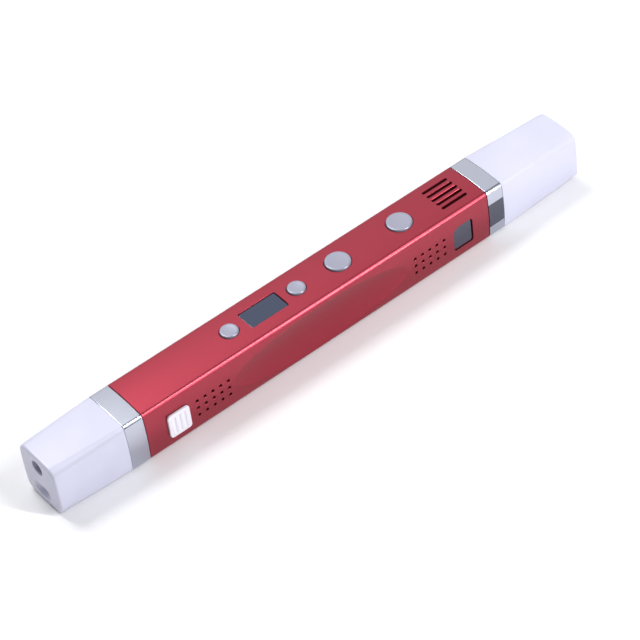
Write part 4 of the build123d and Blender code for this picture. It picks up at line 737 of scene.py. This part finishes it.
class PEN_OT_rings(bpy.types.Operator):
    """Two bright rings with their sleeves, and the black inlay in the front one"""
    bl_idname = "pen.rings"
    bl_label = "Rings"

    def execute(self, context):
        shape = context.scene.pen_shape
        cap_inset = shape.cap_wall + shape.sleeve_gap
        tube_inset = shape.wall + shape.sleeve_gap
        inside = tube_inset + shape.sleeve_wall
        low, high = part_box("rear_ring")
        start, end = low.x + shape.cap_sleeve, high.x - shape.tube_sleeve
        ring = self.ring("rear ring", (low.x, start, end, high.x), cap_inset, tube_inset, inside)
        finished(ring, "pen", "bright_ring", "rear_ring")
        ring.name = "rear_band"
        low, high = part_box("front_ring")
        start, end = low.x + shape.tube_sleeve, high.x - shape.cap_sleeve
        ring = self.ring("front ring", (low.x, start, end, high.x), tube_inset, cap_inset, inside)
        recess = box_piece("recess", (start - shape.sleeve_gap, -HALF_Y - OVER, BOTTOM + shape.inlay_bottom),
                           (end + shape.sleeve_gap, -HALF_Y + shape.inlay_depth, BOTTOM + shape.inlay_top))
        ring = combine(ring, recess, "DIFFERENCE")
        ring.name = "front_band"
        finished(ring, "pen", "bright_ring", "front_ring")
        inlay = crowned("inlay", self.band(start, end))
        low_edge = BOTTOM + shape.inlay_bottom + shape.inlay_gap
        high_edge = BOTTOM + shape.inlay_top - shape.inlay_gap
        back = -HALF_Y + shape.inlay_depth - shape.inlay_gap
        for name, low, high in (("under", (start - OVER, -HALF_Y - OVER, BOTTOM - OVER),
                                 (end + OVER, HALF_Y + OVER, low_edge)),
                                ("over", (start - OVER, -HALF_Y - OVER, high_edge),
                                 (end + OVER, HALF_Y + OVER, TOP + OVER)),
                                ("behind", (start - OVER, back, BOTTOM - OVER),
                                 (end + OVER, HALF_Y + OVER, TOP + OVER))):
            inlay = combine(inlay, box_piece(name, low, high), "DIFFERENCE")
        inlay.name = "ring_inlay"
        finished(inlay, "pen", "black_inlay", "front_ring_inlay")
        return {"FINISHED"}

    def band(self, start, end):
        """Stations of a ring's visible band, with a small rounding at both ends."""
        shape = bpy.context.scene.pen_shape
        return [*rim_break(start, 1), (start + shape.rim, 0, shape.edge), (end - shape.rim, 0, shape.edge),
                *reversed(rim_break(end, -1))]

    def ring(self, name, places, first_inset, last_inset, inside):
        """Ring with a sleeve at each end; places are the ends of its first sleeve, band and last sleeve."""
        shape = bpy.context.scene.pen_shape
        radius = shape.edge
        first, start, end, last = places
        stations = [(first, first_inset, radius), (start, first_inset, radius), *self.band(start, end),
                    (end, last_inset, radius), (last, last_inset, radius), (last, inside, radius),
                    (first, inside, radius)]
        return crowned(name, stations, closed=True)


class PEN_OT_caps(bpy.types.Operator):
    """Both white end caps, hollow, with the socket's mouth and the filament funnel in the rear one"""
    bl_idname = "pen.caps"
    bl_label = "Caps"

    def cap(self, name, seam, end, taper, end_wall):
        """Hollow tapered cap from its seam to its end face."""
        shape = bpy.context.scene.pen_shape
        way = 1 if end > seam else -1
        inner_end = end - way * end_wall
        ring_end = seam - way * shape.cap_seam
        mouth = ring_end + way * shape.cap_mouth
        inner_taper = taper if way > 0 else taper * (1 - abs(inner_end - end) / abs(end - ring_end))
        steps = 8
        body = []
        run = end - way * shape.cap_end - seam - way * shape.rim
        for step in range(steps):
            place = seam + way * shape.rim + run * step / steps
            part = abs(place - seam) / abs(end - seam)
            body.append((place, taper * part, shape.edge + (shape.cap_edge - shape.edge) * part))
        far = 1 - shape.cap_end / abs(end - seam)
        stations = [(inner_end, shape.cap_wall + inner_taper, shape.cap_inner_edge),
                    (mouth, shape.cap_wall, shape.edge), (seam, shape.cap_wall, shape.edge),
                    *rim_break(seam, way), *body,
                    *rounded_end(end, way, taper * far, shape.cap_edge, shape.cap_end)]
        return crowned(name, stations)

    def execute(self, context):
        shape, controls = context.scene.pen_shape, context.scene.pen_controls
        cap = self.cap("front_end_cap", FRONT_CAP_LOW.x, FRONT_CAP_HIGH.x, shape.front_taper, shape.cap_wall)
        finished(cap, "front_cap_body", "white_cap", "front_cap")
        end = REAR_CAP_LOW.x
        cap = self.cap("rear_end_cap", REAR_CAP_HIGH.x, end, shape.rear_taper, shape.cap_end_wall)
        inlet = BOTTOM + controls.inlet_height
        throat_end = end + controls.inlet_depth + controls.throat_length
        boss_end = throat_end + controls.boss_hold
        boss = rod_piece("boss", (end + shape.cap_end_wall / 2, 0, inlet), (boss_end, 0, inlet),
                         controls.boss_radius, 64)
        cap = combine(cap, boss, "UNION")
        cap = combine(cap, self.funnel(end, throat_end, inlet), "DIFFERENCE")
        seat = rod_piece("seat", (throat_end, 0, inlet), (boss_end + OVER, 0, inlet), controls.tube_seat, 64)
        cap = combine(cap, seat, "DIFFERENCE")
        cap = combine(cap, self.mouth(end, BOTTOM + controls.socket_height), "DIFFERENCE")
        finished(cap, "pen", "white_cap", "rear_cap")
        return {"FINISHED"}

    def funnel(self, end, throat_end, height):
        """Cutter for the filament hole, which widens to an oval funnel at the end face."""
        controls = bpy.context.scene.pen_controls
        throat = end + controls.inlet_depth
        funnel = rod_piece("funnel", (throat, 0, height), (throat_end + OVER, 0, height),
                           controls.inlet_throat, 64)
        enter(funnel)
        wide = Vector((1, controls.inlet_width / 2 / controls.inlet_throat,
                       controls.inlet_tall / 2 / controls.inlet_throat))
        steps = 5
        past = (1, 1, 1)
        for step in range(1, steps + 1):
            here = throat - controls.inlet_depth * (step - 1) / steps
            pick(funnel, "faces", lambda face: level(face, 0, here))
            pull((-controls.inlet_depth / steps, 0, 0))
            share = EVEN * step / steps + (1 - EVEN) * (1 - math.cos(QUARTER * step / steps))
            now = (1, 1 + (wide.y - 1) * share, 1 + (wide.z - 1) * share)
            bpy.ops.transform.resize(value=(1, now[1] / past[1], now[2] / past[2]))
            past = now
        pull((-OVER, 0, 0))
        leave_edit()
        return funnel

    def mouth(self, end, height):
        """Cutter for the socket's round hole, with a small chamfer at the end face."""
        shape, controls = bpy.context.scene.pen_shape, bpy.context.scene.pen_controls
        mouth = rod_piece("mouth", (end + shape.flare, 0, height),
                          (end + shape.cap_end_wall + OVER, 0, height), controls.socket_mouth, 64)
        enter(mouth)
        pick(mouth, "faces", lambda face: level(face, 0, end + shape.flare))
        pull((-2 * shape.flare, 0, 0))
        grow = 1 + 2 * shape.flare / controls.socket_mouth
        bpy.ops.transform.resize(value=(1, grow, grow))
        pull((-OVER, 0, 0))
        leave_edit()
        return mouth


class PEN_OT_buttons(bpy.types.Operator):
    """Four round buttons with rounded rims, dished faces and flanges"""
    bl_idname = "pen.buttons"
    bl_label = "Buttons"

    def button(self, name, low, high):
        """One button inside the box of its node."""
        controls = bpy.context.scene.pen_controls
        x = (low.x + high.x) / 2
        radius = (high.x - low.x) / 2 - controls.button_lip
        flange = low.z + controls.button_flange
        piece = rod_piece(name, (x, 0, low.z), (x, 0, flange), radius + controls.button_lip, 72)
        enter(piece)
        pick(piece, "faces", lambda face: face.normal.z > 0.9)
        bpy.ops.mesh.inset(thickness=controls.button_lip)
        pull((0, 0, high.z - flange))
        pick(piece, "edges", lambda edge: level(edge, 2, high.z))
        round_off(controls.button_rounding, 6)
        pick(piece, "faces", lambda face: face.normal.z > 0.99 and len(face.verts) > 20)
        bpy.ops.mesh.inset(thickness=controls.button_rim)
        steps = 6
        reach = radius - controls.button_rounding - controls.button_rim
        for step in range(steps):
            bpy.ops.mesh.inset(thickness=reach / (steps + 1))
            share = ((step + 1) ** 0.5 - step ** 0.5) / steps ** 0.5
            bpy.ops.transform.translate(value=(0, 0, -controls.button_dish * share))
        leave_edit()
        return piece

    def execute(self, context):
        made = {}
        for node in BUTTON_BODIES:
            low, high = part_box(node)
            size = round((high.x - low.x) / MM, 2)
            if size in made:
                first, first_low = made[size]
                piece = copied(first, node.replace("button", "key"), low - first_low)
            else:
                piece = self.button(node.replace("button", "key"), low, high)
                made[size] = (piece, low)
        for node, body in BUTTON_BODIES.items():
            piece = bpy.data.objects[node.replace("button", "key")]
            finished(piece, body, "button_silver", node, degrees=38)
        return {"FINISHED"}


class PEN_OT_lens(bpy.types.Operator):
    """Dark lens of the display with its flange"""
    bl_idname = "pen.lens"
    bl_label = "Display lens"

    def execute(self, context):
        controls = context.scene.pen_controls
        low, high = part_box("display_window")
        gap = controls.window_gap
        middle_x = (low.x + high.x) / 2
        half = Vector((controls.window_length / 2 - gap, controls.window_width / 2 - gap, 0))
        lens = box_piece("display_pane", (middle_x - half.x, -half.y, low.z),
                         (middle_x + half.x, half.y, high.z))
        enter(lens)
        pick(lens, "edges", lambda edge: along(edge, 2))
        round_off(controls.window_corner - gap, 8)
        pick(lens, "edges", lambda edge: level(edge, 2, high.z))
        round_off(controls.window_edge, 3)
        leave_edit()
        flange = box_piece("flange", low, (high.x, high.y, low.z + controls.window_flange))
        lens = combine(lens, flange, "UNION")
        finished(lens, "pen", "display_lens", "display_window")
        return {"FINISHED"}


class PEN_OT_slider(bpy.types.Operator):
    """Grooved white thumb plate with its stem"""
    bl_idname = "pen.slider"
    bl_label = "Speed slider"

    def execute(self, context):
        controls = context.scene.pen_controls
        low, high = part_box("speed_slider")
        back = low.y + controls.slider_plate
        row = (low.z + high.z) / 2
        middle_x = (low.x + high.x) / 2
        plate = box_piece("thumb_plate", low, (high.x, back, high.z))
        enter(plate)
        pick(plate, "edges", lambda edge: along(edge, 1))
        round_off(controls.slider_corner, 10)
        pick(plate, "edges", lambda edge: level(edge, 1, low.y))
        round_off(controls.slider_edge, 4)
        leave_edit()
        groove_y = low.y - controls.slider_groove + controls.slider_depth
        reach = (high.z - low.z) / 2 - controls.slider_corner
        first = rod_piece("groove", (middle_x, groove_y, row - reach), (middle_x, groove_y, row + reach),
                          controls.slider_groove, 64)
        enter(first)
        pick(first, "edges", lambda edge: near(abs(middle(edge).z - row), reach) and not along(edge, 2))
        round_off(controls.groove_end, 4)
        leave_edit()
        grooves = [copied(first, "groove", (side * controls.slider_pitch, 0, 0)) for side in (-1, 1)]
        plate = combine(plate, joined("grooves", [first, *grooves]), "DIFFERENCE")
        stem = box_piece("stem", (middle_x - controls.slider_stem / 2, back - SINK,
                                  row - controls.slider_stem_height / 2),
                         (middle_x + controls.slider_stem / 2, high.y, row + controls.slider_stem_height / 2))
        plate = combine(plate, stem, "UNION")
        finished(plate, "slider", "slider_white", "speed_slider")
        return {"FINISHED"}


class PEN_OT_latch(bpy.types.Operator):
    """Black push plate in the side window, with its flange and tongue"""
    bl_idname = "pen.latch"
    bl_label = "Side latch"

    def plate(self, name, low, high, rounding):
        """Upright plate with one large corner at the rear top."""
        controls = bpy.context.scene.pen_controls
        piece = box_piece(name, low, high)
        enter(piece)

        def rear_top(edge):
            return near(middle(edge).x, low[0]) and near(middle(edge).z, high[2])

        pick(piece, "edges", lambda edge: along(edge, 1) and not rear_top(edge))
        round_off(controls.latch_corner, 8)
        pick(piece, "edges", lambda edge: along(edge, 1) and rear_top(edge))
        round_off(controls.latch_rear_corner, 14)
        if rounding:
            pick(piece, "edges", lambda edge: level(edge, 1, low[1]))
            round_off(rounding, 4)
        leave_edit()
        return piece

    def execute(self, context):
        controls = context.scene.pen_controls
        low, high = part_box("nozzle_release_latch")
        back = high.y - controls.latch_tongue
        lip = controls.latch_lip
        middle_x = (low.x + high.x) / 2
        row = BOTTOM + controls.row_height
        half_x, half_z = controls.latch_length / 2, controls.latch_height / 2
        plate = self.plate("latch_plate", (middle_x - half_x, low.y, row - half_z),
                           (middle_x + half_x, back, row + half_z), controls.latch_edge)
        flange = self.plate("flange",
                            (middle_x - half_x - lip, back - controls.latch_flange, row - half_z - lip),
                            (middle_x + half_x + lip, back, row + half_z + lip), 0)
        plate = combine(plate, flange, "UNION")
        tongue = box_piece("tongue", (middle_x - controls.latch_tongue_length / 2, back - SINK, row - half_z),
                           (middle_x + controls.latch_tongue_length / 2, high.y,
                            row - half_z + controls.latch_tongue_height))
        plate = combine(plate, tongue, "UNION")
        finished(plate, "latch", "latch_black", "nozzle_release_latch")
        return {"FINISHED"}


class PEN_OT_inner_finishes(bpy.types.Operator):
    """Finishes of the parts inside, each with the material of its own slot"""
    bl_idname = "pen.inner_finishes"
    bl_label = "Inner finishes"

    def execute(self, context):
        for name, node in NODES.items():
            slot = node.data.materials[0].name if node.data.materials else "frame_grey"
            slot = slot.split(".")[0]
            node.data.materials.clear()
            node.data.materials.append(slot_finish(slot))
        return {"FINISHED"}


class PEN_OT_stage(bpy.types.Operator):
    """Pale floor, soft lights and the camera"""
    bl_idname = "pen.stage"
    bl_label = "Stage"

    def lamp(self, name, power, towards, distance, size):
        """Rectangular soft light that looks at the pen from a direction."""
        light = bpy.data.lights.new(name, "AREA")
        light.shape = "RECTANGLE"
        light.size, light.size_y = size
        light.energy = power
        lamp = bpy.data.objects.new(name, light)
        bpy.context.scene.collection.objects.link(lamp)
        lamp.location = Vector(towards).normalized() * distance
        lamp.rotation_mode = "QUATERNION"
        lamp.rotation_quaternion = Vector(towards).to_track_quat("Z", "X")

    def execute(self, context):
        stage = context.scene.pen_stage
        leave_edit()
        bpy.ops.mesh.primitive_plane_add(size=6, location=(0, 0, BOTTOM - FLOOR_GAP))
        floor = in_place(bpy.context.object, "floor")
        floor.data.materials.append(finish("floor paper", stage.floor, 0.8, patch=3.0, grain=500.0,
                                           relief=0.02, second=stage.floor))
        world = bpy.data.worlds.new("soft sky")
        world.use_nodes = True
        sky = world.node_tree.nodes["Background"]
        sky.inputs["Color"].default_value = (*stage.sky, 1)
        sky.inputs["Strength"].default_value = stage.sky_strength
        context.scene.world = world
        for name, power, towards, distance, size in LIGHTS:
            self.lamp(name, getattr(stage, power), towards, distance, size)
        data = bpy.data.cameras.new("camera")
        data.lens = stage.lens
        data.sensor_width = 36
        data.clip_start, data.clip_end = 0.01, 20
        camera = bpy.data.objects.new("camera", data)
        context.scene.collection.objects.link(camera)
        ahead = Vector((math.sin(stage.heading) * math.cos(stage.elevation),
                        math.cos(stage.heading) * math.cos(stage.elevation), -math.sin(stage.elevation)))
        right = ahead.cross(Vector((0, 0, 1))).normalized()
        up = right.cross(ahead)
        cos, sin = math.cos(stage.roll), math.sin(stage.roll)
        right, up = (cos * right + sin * up, -sin * right + cos * up)
        pose = Matrix((right, up, -ahead)).transposed().to_4x4()
        pose.translation = stage.eye
        camera.matrix_world = pose
        context.scene.camera = camera
        context.scene.view_settings.view_transform = "Standard"
        return {"FINISHED"}


class PEN_PT_panel(bpy.types.Panel):
    """Buttons for each piece and the stage"""
    bl_label = "Three D Pen"
    bl_space_type = "VIEW_3D"
    bl_region_type = "UI"
    bl_category = "Pen"

    def draw(self, context):
        for operator in OPERATORS:
            self.layout.operator(operator.bl_idname)
        for group in SETTINGS:
            box = self.layout.box()
            settings = getattr(context.scene, group)
            for prop in settings.bl_rna.properties:
                if prop.identifier not in ("rna_type", "name"):
                    box.prop(settings, prop.identifier)


SETTINGS = {"pen_shape": PenShape, "pen_controls": PenControls, "pen_finish": PenFinish,
            "pen_stage": PenStage}
OPERATORS = (PEN_OT_inner_finishes, PEN_OT_tube, PEN_OT_rings, PEN_OT_caps, PEN_OT_buttons, PEN_OT_lens,
             PEN_OT_slider, PEN_OT_latch, PEN_OT_stage)
CLASSES = (*SETTINGS.values(), *OPERATORS, PEN_PT_panel)


def register():
    for kind in CLASSES:
        bpy.utils.register_class(kind)
    for name, kind in SETTINGS.items():
        setattr(bpy.types.Scene, name, PointerProperty(type=kind))


def unregister():
    for name in SETTINGS:
        delattr(bpy.types.Scene, name)
    for kind in reversed(CLASSES):
        bpy.utils.unregister_class(kind)


def main():
    """Builds the pen and its stage."""
    register()
    for operator in OPERATORS:
        group, name = operator.bl_idname.split(".")
        getattr(getattr(bpy.ops, group), name)()


if __name__ == "__main__":
    main()
